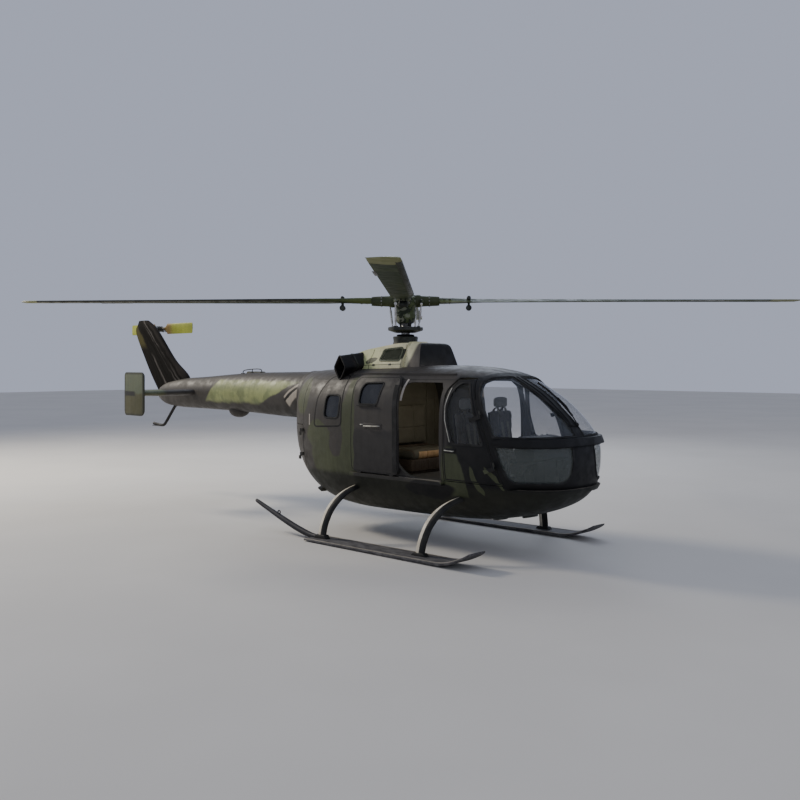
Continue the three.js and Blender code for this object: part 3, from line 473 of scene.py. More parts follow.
class Surface:
    """Finds points on a skin, from outside, along each axis."""

    def __init__(self, mesh):
        self.tree = tree_of(mesh)

    def hit(self, origin, direction):
        place, normal, _, _ = self.tree.ray_cast(Vector(origin), Vector(direction))
        if place is None:
            raise RuntimeError(f"no skin from {origin} along {direction}")
        return place, normal

    def side(self, x, z, side=-1):
        return self.hit((x, 3 * side, z), (0, -side, 0))

    def top(self, x, y):
        return self.hit((x, y, 6), (0, 0, -1))

    def below(self, x, y):
        return self.hit((x, y, -1), (0, 0, 1))

    def front(self, y, z):
        return self.hit((8, y, z), (-1, 0, 0))

    def line(self, outline, side=-1, step=0.03, closed=True):
        """Points and normals over an outline in the side view."""
        hits = [self.side(point.x, point.y, side) for point in dense(outline, step, closed)]
        hits = [hit for hit in hits if abs(hit[1].y) > 0.2 or abs(hit[1].z) > 0.2]
        return [place for place, _ in hits], [normal for _, normal in hits], closed


def strip(surface_line, width, height, closed=True, sink=0.002):
    """A flat strip with rounded shoulders that lies on a skin."""
    half, shoulder = width / 2, min(height, width / 2) * 0.5
    profile = [(-half, -sink), (half, -sink), (half, height - shoulder), (half - shoulder, height),
               (-half + shoulder, height), (-half, height - shoulder)]
    places, normals, *loop = surface_line
    return sweep(places, profile, normals, loop[0] if loop else closed)


def rivets(places, normals, radius):
    """Low domes at places on a skin, joined as one mesh."""
    points, faces = [], []
    for place, normal in zip(places, normals):
        turn = Vector((0, 0, 1)).rotation_difference(normal).to_matrix()
        start = len(points)
        for share, lift in ((1.0, -0.0006), (0.75, 0.0012)):
            for x, y in circle(radius * share, 6):
                points.append(place + turn @ Vector((x, y, lift)))
        points.append(place + normal * 0.0018)
        for i in range(6):
            j = (i + 1) % 6
            faces += [(start + i, start + j, start + 6 + j, start + 6 + i), (start + 6 + i, start + 6 + j, start + 12)]
    mesh = bpy.data.meshes.new("rivets")
    mesh.from_pydata([tuple(point) for point in points], [], faces)
    return mesh


# Materials

class Field:
    """One socket of a material, which takes part in ordinary arithmetic."""

    def __init__(self, finish, socket):
        self.finish, self.socket = finish, socket

    def _math(self, operation, *values, clamp=False):
        node = self.finish.add("ShaderNodeMath", {"operation": operation, "use_clamp": clamp},
                               dict(enumerate(values)))
        return node[0]

    def __add__(self, other):
        return self._math("ADD", self, other)

    def __radd__(self, other):
        return self._math("ADD", other, self)

    def __sub__(self, other):
        return self._math("SUBTRACT", self, other)

    def __rsub__(self, other):
        return self._math("SUBTRACT", other, self)

    def __mul__(self, other):
        return self._math("MULTIPLY", self, other)

    def __rmul__(self, other):
        return self._math("MULTIPLY", other, self)

    def __truediv__(self, other):
        return self._math("DIVIDE", self, other)

    def __abs__(self):
        return self._math("ABSOLUTE", self)

    def __or__(self, other):
        return self._math("MAXIMUM", self, other)

    def __and__(self, other):
        return self._math("MULTIPLY", self, other)

    def ramp(self, low, high, start=0.0, end=1.0):
        """Runs from start to end as the value runs from low to high."""
        node = self.finish.add("ShaderNodeMapRange", {"interpolation_type": "SMOOTHSTEP"},
                               {"Value": self, "From Min": low, "From Max": high, "To Min": start, "To Max": end})
        return node[0]

    def wave(self, period):
        return self._math("SINE", self * (2 * math.pi / period))


class Outputs:
    """The output sockets of a node, by number or name."""

    def __init__(self, finish, node):
        self.finish, self.node = finish, node

    def __getitem__(self, key):
        return Field(self.finish, self.node.outputs[key])


class Finish:
    """A material with one glossy shader, built from expressions."""

    def __init__(self, name, roughness=0.6, metallic=0.0, **constants):
        self.material = bpy.data.materials.new(name)
        self.material.use_nodes = True
        self.tree = self.material.node_tree
        self.shader = self.tree.nodes["Principled BSDF"]
        self.shader.inputs["Roughness"].default_value = roughness
        self.shader.inputs["Metallic"].default_value = metallic
        self.shader.inputs["Specular IOR Level"].default_value = 0.5 if metallic > 0.3 else 0.25
        for key, value in constants.items():
            self.shader.inputs[key.replace("_", " ")].default_value = value
        place = self.add("ShaderNodeVectorMath", {"operation": "ADD"},
                         {0: self.add("ShaderNodeTexCoord")["Object"], 1: (DRAWN_BEHIND, 0, 0)})[0]
        self.place = place
        axes = self.add("ShaderNodeSeparateXYZ", {}, {"Vector": place})
        self.x, self.y, self.z = axes["X"], axes["Y"], axes["Z"]

    def add(self, kind, settings=None, values=None):
        """Adds a node: its settings come first, then the values or links of its sockets."""
        node = self.tree.nodes.new(kind)
        for key, value in (settings or {}).items():
            setattr(node, key, value)
        for key, value in (values or {}).items():
            if isinstance(value, Field):
                self.tree.links.new(value.socket, node.inputs[key])
            else:
                node.inputs[key].default_value = value
        return Outputs(self, node)

    def noise(self, scale, detail=3.0, roughness=0.55, vector=None):
        node = self.add("ShaderNodeTexNoise", {"noise_dimensions": "3D"},
                        {"Vector": vector or self.place, "Scale": scale, "Detail": detail, "Roughness": roughness})
        return node["Fac"]

    def stretched(self, x, y, z):
        """The place in the part, scaled along each axis."""
        node = self.add("ShaderNodeVectorMath", {"operation": "MULTIPLY"}, {0: self.place, 1: (x, y, z)})
        return node[0]

    def mix(self, share, first, second):
        """A colour between two others."""
        def colour(value):
            return value if isinstance(value, Field) else (*value, 1.0)
        node = self.add("ShaderNodeMix", {"data_type": "RGBA"}, {0: share, 6: colour(first), 7: colour(second)})
        return node[2]

    def shade(self, colour, amount):
        """A colour made lighter or darker by a number."""
        grey = self.add("ShaderNodeCombineXYZ", {}, {"X": amount, "Y": amount, "Z": amount})[0]
        value = colour if isinstance(colour, Field) else tuple(colour)
        return self.add("ShaderNodeVectorMath", {"operation": "MULTIPLY"}, {0: value, 1: grey})[0]

    def feed(self, socket, value):
        self.tree.links.new(value.socket, self.shader.inputs[socket])

    def bump(self, height, distance, strength=1.0):
        node = self.add("ShaderNodeBump", {}, {"Height": height, "Distance": distance, "Strength": strength})
        self.feed("Normal", node["Normal"])

    def blob(self, x, z, wide, tall, turn=0.0, soft=0.16):
        """A soft-edged ellipse in the side view, its place wandering with noise."""
        c, s = math.cos(math.radians(turn)), math.sin(math.radians(turn))
        dx, dz = self.wander_x - x, self.wander_z - z
        along, across = (dx * c + dz * s) / wide, (dz * c - dx * s) / tall
        reach = along * along + across * across
        return reach.ramp(1 + soft, 1 - soft)

    def wandering(self, scale, amount):
        """Sets the places that the blobs are measured from."""
        self.wander_x = self.x + (self.noise(scale) - 0.5) * amount
        shifted = self.add("ShaderNodeVectorMath", {"operation": "ADD"}, {0: self.place, 1: (7.3, 2.1, 5.7)})[0]
        self.wander_z = self.z + (self.noise(scale, vector=shifted) - 0.5) * amount


def weathered(finish, colour, grain=1.0):
    """Dust, faint streaks and worn flecks over a paint, with its roughness and grain."""
    cloud = finish.noise(1.7, 4.0).ramp(0.30, 0.72, 0.84, 1.14)
    streaks = finish.noise(6.0, 3.0, vector=finish.stretched(3.5, 3.5, 0.35)).ramp(0.35, 0.75, 1.05, 0.90)
    speck = finish.noise(70.0, 2.0)
    dusty = finish.shade(colour, cloud * streaks * speck.ramp(0.2, 0.8, 0.95, 1.05))
    flecks = finish.noise(38.0, 4.0, 0.7).ramp(0.735, 0.765)
    finish.feed("Base Color", finish.mix(flecks * 0.3, dusty, (0.14, 0.13, 0.11)))
    finish.feed("Roughness", finish.noise(9.0, 3.0).ramp(0.3, 0.7, 0.46, 0.66))
    finish.shader.inputs["Specular IOR Level"].default_value = 0.28
    finish.bump(speck * 0.3 + finish.noise(2.6, 2.0) * 1.4, 0.0011 * grain)
    return finish.material


def pod_paint(paint):
    """Camouflage of the pod: brown grey with grey green and black patches, with painted shade on the lower door and a
    dark olive painted shade under the pod.
    """
    finish = Finish("pod_camouflage", 0.55)
    finish.wandering(2.6, 0.16)
    wide = finish.noise(0.95, 1.5, 0.4)
    green = (finish.blob(1.47, 1.20, 0.13, 0.78, -2) | finish.blob(1.12, 0.93, 0.42, 0.34, -38)
             | finish.blob(0.86, 1.22, 0.24, 0.20) | finish.blob(3.13, 0.86, 0.16, 0.36, 8)
             | finish.blob(3.43, 0.86, 0.035, 0.17, 20) | finish.blob(3.68, 0.90, 0.035, 0.17, 34)
             | finish.blob(0.42, 1.70, 0.20, 0.24))
    earth_bite = finish.blob(1.24, 1.22, 0.13, 0.24)
    green = green * (1 - earth_bite)
    top = finish.z.ramp(1.93, 2.0)
    green = (green * (1 - top)) | (wide.ramp(0.62, 0.66) * top * 0.5)
    black = finish.x.ramp(3.02, 3.10) * (1 - finish.z.ramp(1.97, 2.02)) | finish.blob(0.02, 1.10, 0.16, 0.40)
    colour = finish.mix(black, tuple(paint.earth), tuple(paint.pitch))
    # Painted shade: the slid-back door's lower part, below its waist where the skin turns under, is darkened towards
    # charcoal.
    lower_door_shade = finish.x.ramp(1.585, 1.60) * finish.x.ramp(2.42, 2.40) * finish.wander_z.ramp(1.37, 1.29)
    colour = finish.mix(lower_door_shade * 0.75, colour, (0.021, 0.020, 0.020))
    colour = finish.mix(green, colour, tuple(paint.leaf))
    slivers = green * finish.x.ramp(2.9, 3.0) * finish.z.ramp(0.64, 0.68)
    # Painted shade: dark olive over the pod's lower side below about z 0.78, where it turns under, except under the
    # green slivers.
    colour = finish.mix(finish.z.ramp(0.82, 0.74) * (1 - slivers), colour, tuple(paint.belly))
    colour = finish.mix(finish.blob(2.76, 0.72, 0.36, 0.11), colour, tuple(paint.pitch))
    return weathered(finish, colour)


def boom_paint(paint):
    """Camouflage of the boom: one pale green length with slanting ends between brown grey ones, with painted shade
    along its underside and a brown grey band along its top as a painted reflection.
    """
    finish = Finish("boom_camouflage", 0.5)
    finish.wandering(3.0, 0.10)
    back = finish.wander_x - finish.wander_z * 1.05
    front = finish.wander_x - finish.wander_z * 2.6
    # The green stops short of the top and leaves a brown grey band there as a painted reflection of the sky. It also
    # stops above z 1.52, and below that the painted shade of the underside takes over.
    green = back.ramp(-4.02, -3.96) * front.ramp(-4.92, -5.00) * finish.wander_z.ramp(1.52, 1.58) \
        * finish.wander_z.ramp(1.90, 1.85)
    colour = finish.mix(green, tuple(paint.earth), finish.mix(finish.noise(5.0, 4.0).ramp(0.42, 0.6),
                                                              (0.26, 0.285, 0.12), (0.17, 0.195, 0.085)))
    # Painted shade: darker towards the boom's underside.
    lower = finish.z.ramp(1.62, 1.38)
    colour = finish.mix(lower * 0.6, colour, (0.018, 0.016, 0.015))
    across = (finish.wander_z - 1.72) - (finish.wander_x + 0.18) * 0.66
    along = abs((finish.wander_x + 0.18) + (finish.wander_z - 1.72) * 0.66)
    sleeve = across.ramp(-0.15, -0.12) * across.ramp(0.07, 0.05) * along.ramp(0.23, 0.19)
    colour = finish.mix(sleeve, colour, (0.42, 0.37, 0.30))
    colour = finish.mix(abs(across).ramp(0.03, 0.018) * along.ramp(0.27, 0.23), colour, (0.008, 0.007, 0.006))
    return weathered(finish, colour)


def fin_paint(paint):
    """Camouflage of the fin: dark, with a painted highlight as a paler streak along it and an olive upper rear edge."""
    finish = Finish("fin_camouflage", 0.85)
    finish.wandering(3.5, 0.10)
    rise = finish.wander_z - FIN_FOOT_Z
    behind = (rise * FIN_SWEEP + FIN_FOOT_X - finish.wander_x) * (1 + rise * 0.55)
    front = behind.ramp(0.17, 0.10)
    colour = finish.mix(front, (0.004, 0.0035, 0.003), (0.022, 0.019, 0.017))
    # Painted highlight: a paler streak running down the fin behind its leading edge, broken up by noise.
    painted_highlight = abs(behind - 0.29).ramp(0.10, 0.03) | abs(behind - 0.68).ramp(0.07, 0.02) * finish.z.ramp(2.35, 2.15)
    along = finish.add("ShaderNodeCombineXYZ", {}, {"X": behind * 7.0, "Y": finish.y * 2.0, "Z": rise * 0.9})[0]
    drag = finish.noise(2.4, 4.0, 0.6, along).ramp(0.43, 0.62)
    colour = finish.mix(painted_highlight * drag * 0.75, colour, (0.13, 0.12, 0.112))
    rear = behind.ramp(0.72, 0.84) * finish.z.ramp(2.35, 2.5)
    colour = finish.mix(rear * 0.8, colour, (0.070, 0.063, 0.024))
    finish.feed("Base Color", colour)
    finish.feed("Roughness", drag.ramp(0, 1, 0.78, 0.92))
    finish.shader.inputs["Specular IOR Level"].default_value = 0.08
    finish.bump(finish.noise(70.0, 2.0), 0.0006)
    return finish.material


def plate_paint(paint):
    """Camouflage of the stabiliser and its end plates."""
    finish = Finish("plate_camouflage", 0.5)
    finish.wandering(5.0, 0.08)
    upper = finish.wander_z.ramp(1.66, 1.70)
    colour = finish.mix(upper, (0.075, 0.073, 0.036), (0.10, 0.115, 0.072))
    band = abs(finish.wander_z - 1.675).ramp(0.045, 0.025) * finish.wander_x.ramp(-2.78, -2.84)
    colour = finish.mix(band, colour, (0.02, 0.02, 0.018))
    edge = (abs(finish.x + 2.85).ramp(0.225, 0.245) | abs(finish.z - 1.672).ramp(0.285, 0.305)) \
        * abs(finish.y).ramp(1.0, 1.05)
    colour = finish.mix(edge * 0.8, colour, (0.035, 0.036, 0.025))
    colour = finish.mix(abs(finish.y).ramp(0.80, 0.70), colour, tuple(paint.earth))
    return weathered(finish, colour)


def cowl_paint(paint):
    """Pale cream cowling, greener to the rear, with grey brown at its front end."""
    finish = Finish("cowl_camouflage", 0.5)
    finish.wandering(4.0, 0.10)
    rear = finish.wander_x.ramp(1.75, 1.35)
    colour = finish.mix(rear * 0.75, tuple(paint.cream), (0.30, 0.345, 0.13))
    front = (finish.wander_x - finish.wander_z * 0.32).ramp(1.36, 1.42)
    colour = finish.mix(front, colour, (0.12, 0.105, 0.088))
    tail = finish.wander_x.ramp(1.02, 0.92)
    colour = finish.mix(tail, colour, tuple(paint.earth))
    smudge = finish.blob(1.47, 2.155, 0.085, 0.035, 12)
    colour = finish.mix(smudge * 0.9, colour, (0.03, 0.034, 0.02))
    return weathered(finish, colour)


def plain_paint(name, colour, grain=1.0):
    finish = Finish(name, 0.5)
    return weathered(finish, finish.mix(finish.noise(3.0).ramp(0.35, 0.7), tuple(colour),
                                        tuple(0.8 * c for c in colour)), grain)


def blade_paint(paint):
    """Dark green blades, yellow green over the last part, with a painted sheen of yellow green along both edges."""
    finish = Finish("blade_paint", 0.45)
    radius = finish.add("ShaderNodeVectorMath", {"operation": "LENGTH"}, {0: finish.add(
        "ShaderNodeVectorMath", {"operation": "SUBTRACT"}, {0: finish.place, 1: (MAST_X, 0, ROTOR_Z)})[0]})["Value"]
    tip = radius.ramp(4.52, 4.56)
    turn = (math.cos(ROTOR_REST), math.sin(ROTOR_REST))
    away = finish.x - MAST_X
    chord = abs(away * turn[0] + finish.y * turn[1]) - abs(finish.y * turn[0] - away * turn[1])
    chord = (radius - abs(chord)) * 0.5
    colour = finish.mix(finish.noise(2.2, 3.0).ramp(0.45, 0.6) * 0.5, tuple(paint.blade), (0.060, 0.072, 0.026))
    # Painted sheen: yellow green along both edges of each blade, for light glancing off them.
    edge = (chord + radius.ramp(0.4, 1.0, 0.055, 0.0)).ramp(0.055, 0.085)
    colour = finish.mix(edge * 0.7, colour, (0.125, 0.150, 0.040))
    colour = finish.mix(tip * 0.75, colour, (0.27, 0.27, 0.12))
    return weathered(finish, colour, 0.6)


def tail_blade_paint(paint):
    """Yellow green tail blades with a brown root."""
    finish = Finish("tail_blade_paint", 0.45)
    reach = abs(finish.x + 4.4) | abs(finish.z - 2.73)
    colour = finish.mix(reach.ramp(0.24, 0.42), (0.20, 0.135, 0.04), tuple(paint.tip))
    colour = finish.mix(reach.ramp(0.16, 0.10), colour, (0.05, 0.045, 0.03))
    return weathered(finish, colour, 0.6)


def bare_metal(name, colour, roughness=0.4, metallic=0.85, scratch=60.0):
    """Machined metal with fine marks, oil stains and a little grime."""
    finish = Finish(name, roughness, metallic)
    grime = finish.noise(11.0, 4.0).ramp(0.42, 0.68)
    finish.feed("Base Color", finish.mix(grime * 0.7, tuple(colour), tuple(0.35 * c for c in colour)))
    marks = finish.noise(scratch, 3.0, vector=finish.stretched(1, 1, 6))
    finish.feed("Roughness", (marks * 0.25 + grime * 0.2) + (roughness - 0.18))
    finish.bump(marks, 0.0004)
    return finish.material


def burnt_metal():
    """Exhaust metal: near black with brown and blue heat marks."""
    finish = Finish("burnt_metal", 0.55, 0.6)
    heat = finish.noise(7.0, 4.0)
    colour = finish.mix(heat.ramp(0.45, 0.7), (0.012, 0.012, 0.013), (0.05, 0.042, 0.036))
    finish.feed("Base Color", colour)
    finish.feed("Roughness", heat.ramp(0.3, 0.7, 0.45, 0.75))
    finish.bump(finish.noise(90.0, 3.0), 0.0006)
    return finish.material


def hub_paint():
    """Mottled green and black paint of the rotor hub, oily in places."""
    finish = Finish("hub_paint", 0.45, 0.15)
    patches = finish.noise(9.0, 3.0, 0.6).ramp(0.50, 0.55)
    pale = finish.noise(13.0, 2.0, 0.5, finish.stretched(1, 1, 1.7)).ramp(0.57, 0.62)
    colour = finish.mix(patches, (0.022, 0.030, 0.015), (0.085, 0.105, 0.045))
    finish.feed("Base Color", finish.mix(pale * 0.7, colour, (0.26, 0.27, 0.20)))
    finish.feed("Roughness", finish.noise(20.0).ramp(0.3, 0.7, 0.32, 0.62))
    finish.bump(finish.noise(60.0), 0.0006)
    return finish.material


def rubber(name="rubber", colour=(0.012, 0.012, 0.012)):
    """Matt black rubber with a faint moulded grain."""
    finish = Finish(name, 0.7)
    grain = finish.noise(140.0, 2.0)
    finish.feed("Base Color", finish.mix(finish.noise(8.0).ramp(0.4, 0.7), colour,
                                         tuple(min(1, 1.9 * c + 0.006) for c in colour)))
    finish.feed("Roughness", grain.ramp(0.3, 0.7, 0.62, 0.8))
    finish.bump(grain, 0.0005)
    return finish.material


def glazing(name, tint, clear, gloss=1.0):
    """Curved acrylic: see-through from the front, brighter with reflections at a slant."""
    finish = Finish(name, 0.04, 0.0, IOR=1.49)
    finish.shader.inputs["Specular IOR Level"].default_value = 0.5 * gloss
    outside = 1 - finish.add("ShaderNodeNewGeometry")["Backfacing"]
    fresnel = finish.add("ShaderNodeFresnel", {}, {"IOR": 1.55})[0] * outside
    dust = finish.noise(5.0, 4.0).ramp(0.35, 0.75)
    finish.feed("Base Color", finish.mix(dust * 0.35, tint, tuple(min(1, c + 0.06) for c in tint)))
    finish.feed("Roughness", dust * 0.05 + 0.025)
    finish.feed("Alpha", fresnel * 1.15 + (1 - clear) + dust * 0.03)
    return finish.material


def skid_paint():
    """Dark grey skid tread with a dragged, gritty surface."""
    finish = Finish("skid_tread", 0.75)
    drag = finish.noise(16.0, 5.0, 0.65, finish.stretched(0.5, 2.4, 1.0))
    grit = finish.noise(150.0, 3.0)
    colour = finish.mix(drag.ramp(0.35, 0.68), (0.050, 0.048, 0.051), (0.15, 0.145, 0.142))
    finish.feed("Base Color", finish.shade(colour, grit.ramp(0.2, 0.8, 0.75, 1.2)))
    finish.feed("Roughness", drag.ramp(0.3, 0.7, 0.6, 0.85))
    finish.bump(drag + grit * 0.5, 0.0007)
    return finish.material


def tube_paint(name, clean, rubbed):
    """Paint of the landing gear's legs, rubbed in places by grit; its pale copy is painted light on the legs' lit side.
    """
    finish = Finish(name, 0.5)
    worn = finish.noise(7.0, 4.0).ramp(0.4, 0.68)
    finish.feed("Base Color", finish.mix(worn, clean, rubbed))
    finish.feed("Roughness", worn * 0.2 + 0.42)
    finish.bump(finish.noise(60.0), 0.0006)
    return finish.material


def woven(name, colour, thread=0.0035, contrast=0.35):
    """Coarse woven cloth: crossing threads with lighter crowns."""
    finish = Finish(name, 0.9, 0.0, Sheen_Weight=0.25)
    warp = (finish.y + finish.z * 0.35).wave(thread)
    weft = (finish.x + finish.z * 0.9).wave(thread)
    weave = warp * weft
    blotch = finish.noise(12.0).ramp(0.3, 0.7, 0.86, 1.1)
    finish.feed("Base Color", finish.shade(tuple(colour), (weave * (contrast * 0.5) + 1.0) * blotch))
    finish.feed("Roughness", weave * 0.05 + 0.88)
    finish.bump(weave + finish.noise(300.0) * 0.3, 0.0009)
    return finish.material


def leather(name, colour):
    """Pebbled leather with creases and rubbed crowns."""
    finish = Finish(name, 0.5)
    cells = finish.add("ShaderNodeTexVoronoi", {"feature": "DISTANCE_TO_EDGE"},
                       {"Vector": finish.place, "Scale": 220.0})["Distance"]
    creases = finish.noise(9.0, 5.0, 0.6, finish.stretched(1, 2.2, 1)).ramp(0.42, 0.58)
    tone = finish.noise(4.0).ramp(0.3, 0.7, 0.82, 1.12) * creases.ramp(0, 1, 1.0, 0.88)
    finish.feed("Base Color", finish.shade(tuple(colour), tone))
    finish.feed("Roughness", creases.ramp(0, 1, 0.42, 0.6))
    finish.bump(cells.ramp(0.0, 0.12) + creases * 0.6, 0.0008)
    return finish.material


def moulded(name, colour, roughness=0.55):
    """Moulded plastic with a fine stipple."""
    finish = Finish(name, roughness)
    stipple = finish.noise(420.0, 2.0)
    finish.feed("Base Color", finish.shade(tuple(colour), finish.noise(6.0).ramp(0.3, 0.7, 0.88, 1.1)))
    finish.feed("Roughness", stipple.ramp(0.3, 0.7, roughness - 0.08, roughness + 0.1))
    finish.bump(stipple, 0.0004)
    return finish.material


def cabin_lining(name="cabin_lining", colour=(0.075, 0.072, 0.060)):
    """Plain cabin lining with a soft leather grain and rubbed places."""
    finish = Finish(name, 0.85)
    rubbed = finish.noise(3.0, 4.0).ramp(0.35, 0.7, 0.86, 1.1)
    finish.feed("Base Color", finish.shade(colour, rubbed))
    finish.feed("Roughness", finish.noise(30.0).ramp(0.3, 0.7, 0.78, 0.92))
    finish.bump(finish.noise(160.0, 2.0), 0.0006)
    return finish.material


def cabin_floor():
    """Olive-brown floor covering with a raised stud pattern."""
    finish = Finish("cabin_floor", 0.8)
    studs = finish.x.wave(0.05) * finish.y.wave(0.05)
    worn = finish.noise(5.0, 4.0).ramp(0.35, 0.7)
    finish.feed("Base Color", finish.mix(worn, (0.085, 0.078, 0.062), (0.15, 0.135, 0.105)))
    finish.feed("Roughness", worn * 0.15 + 0.7)
    finish.bump(studs.ramp(0.3, 0.8), 0.0006)
    return finish.material


def lamp_glass(name, colour):
    finish = Finish(name, 0.12, 0.0, Coat_Weight=0.5)
    ribs = (finish.x + finish.z).wave(0.012)
    finish.feed("Base Color", finish.shade(tuple(colour), ribs * 0.12 + 1.0))
    finish.feed("Roughness", finish.noise(40.0).ramp(0.3, 0.7, 0.08, 0.2))
    finish.bump(ribs, 0.0008)
    return finish.material


def floor_finish(colour):
    finish = Finish("studio_floor", 0.85)
    finish.feed("Base Color", finish.shade(tuple(colour), finish.noise(0.35, 3.0).ramp(0.3, 0.7, 0.97, 1.03)))
    return finish.material


_finishes = {}


def material(name):
    """The material of a name, made when it is first asked for."""
    if name not in _finishes:
        paint = bpy.context.scene.helicopter_paint
        makers = {
            "pod": lambda: pod_paint(paint),
            "boom": lambda: boom_paint(paint),
            "fin": lambda: fin_paint(paint),
            "plate": lambda: plate_paint(paint),
            "cowl": lambda: cowl_paint(paint),
            "black": lambda: plain_paint("black_paint", (0.005, 0.005, 0.0055), 0.7),
            "brown": lambda: plain_paint("brown_paint", tuple(paint.earth)),
            "blade": lambda: blade_paint(paint),
            "tail_blade": lambda: tail_blade_paint(paint),
            "steel": lambda: bare_metal("machined_steel", (0.33, 0.32, 0.30)),
            "gunmetal": lambda: bare_metal("gunmetal", (0.045, 0.048, 0.042), 0.5, 0.6),
            "bright": lambda: bare_metal("bright_metal", (0.62, 0.60, 0.56), 0.3, 0.9),
            "burnt": burnt_metal,
            "rubber": rubber,
            "shadow": lambda: rubber("seam_black", (0.006, 0.006, 0.006)),
            "screen": lambda: glazing("windscreen_acrylic", (0.20, 0.225, 0.26), 0.93, 1.3),
            "chin": lambda: glazing("chin_acrylic", (0.15, 0.17, 0.16), 0.74),
            "window": lambda: glazing("door_acrylic", (0.07, 0.075, 0.08), 0.86),
            "dark_window": lambda: glazing("cabin_acrylic", (0.010, 0.011, 0.013), 0.10),
            "tread": skid_paint,
            "spar": lambda: plain_paint("spar_paint", (0.022, 0.023, 0.030), 0.8),
            "worn_steel": lambda: bare_metal("worn_steel", (0.20, 0.19, 0.18), 0.5, 0.8, 24.0),
            "worn_edge": lambda: plain_paint("worn_edge", (0.30, 0.27, 0.22), 1.2),
            "pale_trim": lambda: plain_paint("pale_trim", (0.50, 0.45, 0.39), 1.2),
            "hub": hub_paint,
            "sleeve": lambda: plain_paint("sleeve_paint", (0.050, 0.060, 0.024), 1.2),
            "blade_edge": lambda: bare_metal("blade_edge", (0.045, 0.048, 0.035), 0.45, 0.5),
            "mesh": lambda: plain_paint("mesh_paint", (0.028, 0.045, 0.018), 0.7),
            "mesh_shade": lambda: rubber("mesh_shade", (0.010, 0.014, 0.007)),
            "olive_lining": lambda: cabin_lining("olive_lining", (0.150, 0.132, 0.088)),
            "bench_front": lambda: leather("bench_front", (0.110, 0.078, 0.046)),
            "head_fabric": lambda: woven("head_rest_cover", (0.26, 0.26, 0.24)),
            "pale_metal": lambda: bare_metal("pale_metal", (0.62, 0.60, 0.52), 0.4, 0.3),
            "leg": lambda: tube_paint("leg_black", (0.012, 0.012, 0.011), (0.030, 0.029, 0.026)),
            # Painted light: a pale copy of the black leg paint for the legs' lit side.
            "leg_painted_light": lambda: tube_paint("leg_painted_light", (0.74, 0.68, 0.55), (0.52, 0.47, 0.37)),
            "fabric": lambda: woven("seat_weave", tuple(paint.fabric)),
            "webbing": lambda: woven("harness_webbing", (0.16, 0.15, 0.11), 0.0024, 0.5),
            "tan": lambda: leather("bench_leather", tuple(paint.tan)),
            "brown_leather": lambda: leather("seat_edge_leather", (0.16, 0.095, 0.05)),
            "plastic": lambda: moulded("black_plastic", (0.022, 0.022, 0.023)),
            "grey_plastic": lambda: moulded("grey_plastic", (0.12, 0.12, 0.115)),
            "lining": cabin_lining,
            "carpet": cabin_floor,
            "clear_lamp": lambda: lamp_glass("clear_lamp", (0.75, 0.77, 0.75)),
            "dial": lambda: moulded("dial_face", (0.35, 0.36, 0.33), 0.3),
        }
        _finishes[name] = makers[name]()
    return _finishes[name]


# Shells of the pod

def shell():
    wall = bpy.context.scene.helicopter_sizes.wall
    if "shell" not in _pods:
        hollow = solid("DIFFERENCE", pod(0), pod(wall))
        _pods["shell"] = solid("INTERSECT", hollow, block((-0.5, -1, FLOOR_Z), (4.8, 1, 2.5)))
    return _pods["shell"]


def starboard(outline, inner=-0.3):
    """A cutter from open air to a plane inside the cabin."""
    return side_prism(outline, -1.0, inner)


def arc(centre, radius, start, end, steps):
    """Points on a circle between two angles in degrees."""
    angles = [math.radians(start + (end - start) * k / steps) for k in range(steps + 1)]
    return [(centre[0] + radius * math.cos(angle), centre[1] + radius * math.sin(angle)) for angle in angles]


def doorway_outline():
    return (arc((2.592, 1.195), 0.38, 270, 180, 12) + arc((2.472, 1.655), 0.26, 180, 90, 9)
            + [(2.9, 1.915), (2.944, 1.85), (2.944, 0.815)])


def chin_hole(shrink):
    """The chin window's outline in the side view, cut by its rounded inner edge in the front view."""
    edge = front_prism(inset(CHIN_FRONT, shrink), 3.5, 4.5)
    return solid("INTERSECT", starboard(inset(CHIN_WINDOW, shrink), 0), edge)


def proud(outline, height):
    """A strip of the skin that stands out from it."""
    return solid("INTERSECT", pod(-height), side_prism(outline, -1.2, 1.2))


def nose_strip(low, high, back):
    return proud([(back, low), (4.5, low), (4.5, high), (back, high), (back - 0.12, (low + high) / 2)], 0.038)


def inside_or_paint(surface, paint=0, lining=1):
    """Chooses the paint for outer faces and the lining for those that look into the cabin."""
    def choose(face):
        _, normal, _, distance = surface.tree.find_nearest(face.center)
        return paint if distance < 0.012 or face.normal.dot(normal) > 0.5 else lining
    return choose


